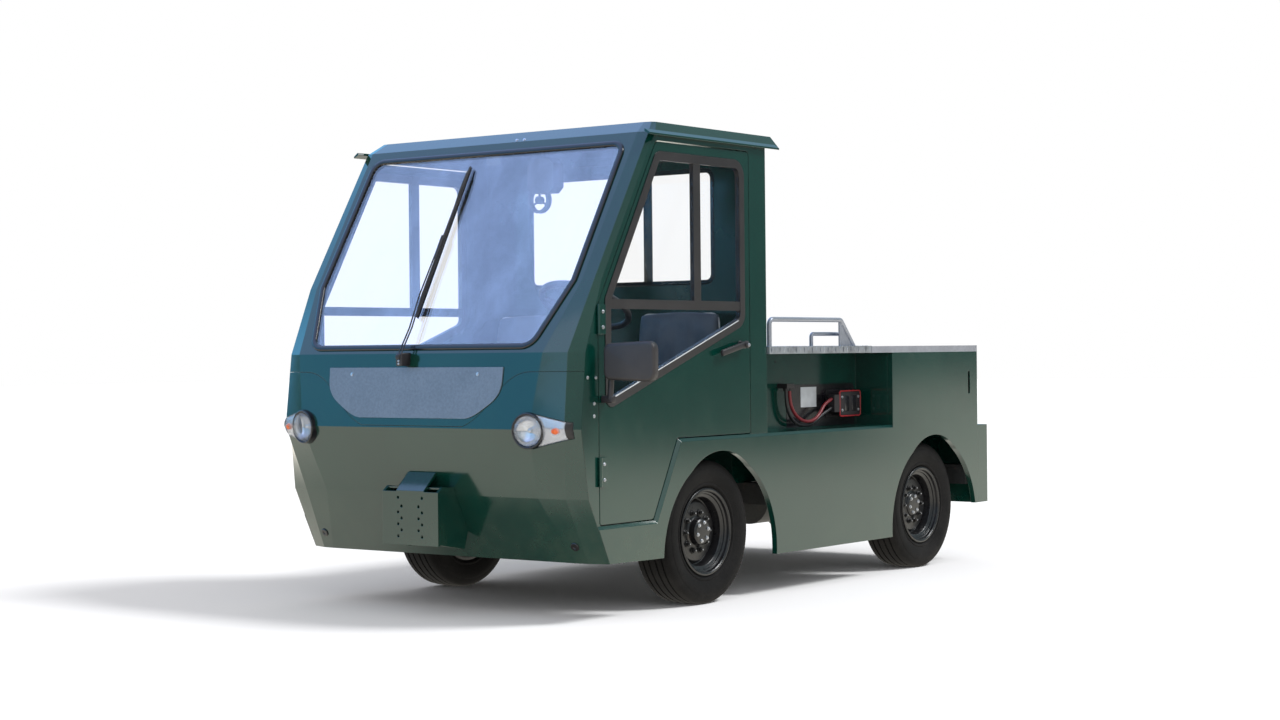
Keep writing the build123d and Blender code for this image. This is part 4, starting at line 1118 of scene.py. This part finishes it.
def setLights():
    world = bpy.data.worlds.new("studio")
    bpy.context.scene.world = world
    shader = Shader(world, "Generated")
    across, along, rise = (shader.axis(letter) for letter in "XYZ")
    front = shader.band(rise * 0.3 - across * 0.8 - along * 0.35, -0.1, 0.5)
    aside = shader.mixed(shader.band(rise, -0.05, 0.25), *lightSizes["aside"])
    low, middle, high = lightSizes["ahead"]
    ahead = shader.mixed(shader.band(rise, 0.02, 0.12), low, middle)
    ahead = shader.mixed(shader.band(rise, 0.3, 0.72), ahead, high)
    colour = shader.mixed(ray(shader, "Glossy"), lightSizes["sky"], shader.mixed(front, aside, ahead))
    clear = shader.band(ray(shader, "Camera") + ray(shader, "Transmission"), 0, 1)
    light = shader.add("Background", {"Color": shader.mixed(clear, colour, (1, 1, 1, 1))})
    shader.add("OutputWorld", {"Surface": light})
    for name, (aim, strength, spread) in lightSizes["suns"].items():
        lamp = bpy.data.lights.new(name, "SUN")
        lamp.energy = strength
        lamp.angle = math.radians(spread)
        placed(name, lamp).rotation_euler = Vector(aim).to_track_quat("-Z", "Y").to_euler()


# The floor seen in the paint is darker far out, carries a painted shadow under the nose, and stays pale behind the
# camera's view
def layFloor():
    s = floorSizes
    shader = newShader("studio floor")
    across, along = shader.axis("X"), shader.axis("Y")
    reach = (across ** 2 + along ** 2) ** 0.5
    behind = shader.band((along + 7.81) * 0.515 - (across + 4.57) * 0.857, -0.6, 1.0)
    bounce = shader.mixed(shader.band(reach, *s["fades"]) * (1 - behind * 0.85), s["near"], s["far"])
    # painted shadow: a dark patch under the nose in the floor seen in the paint
    under = (shader.band(along, -1.5, -1.2) * shader.band(across, -0.8, -0.1)
             * shader.band(along, -0.7, -0.3, 1, 0) * shader.band(across, 0.9, 1.5, 1, 0))
    matte = shader.add("BsdfPrincipled", {
        "Base Color": shader.mixed(ray(shader, "Camera"), bounce, s["seen"]),
        "Roughness": shader.noise(3, 3) * 0.1 + 0.85, "Specular IOR Level": 0.0})
    glow = shader.add("BsdfPrincipled", {
        "Base Color": (0, 0, 0, 1), "Specular IOR Level": 0.0,
        "Emission Color": shader.mixed(under, bounce, s["under"]), "Emission Strength": s["glow"]})
    share = ray(shader, "Glossy") * s["glossShare"]
    both = shader.add("MixShader", {0: share, 1: matte, 2: glow})
    shader.add("OutputMaterial", {"Surface": both})
    half = s["half"]
    mesh = bpy.data.meshes.new("studio_floor")
    mesh.from_pydata([(-half, -half, 0), (half, -half, 0), (half, half, 0), (-half, half, 0)], [], [(0, 1, 2, 3)])
    mesh.materials.append(shader.owner)
    placed("studio_floor", mesh)


setLights()
layFloor()
bpy.context.scene.view_settings.view_transform = "Standard"
print("camera, light and floor set")
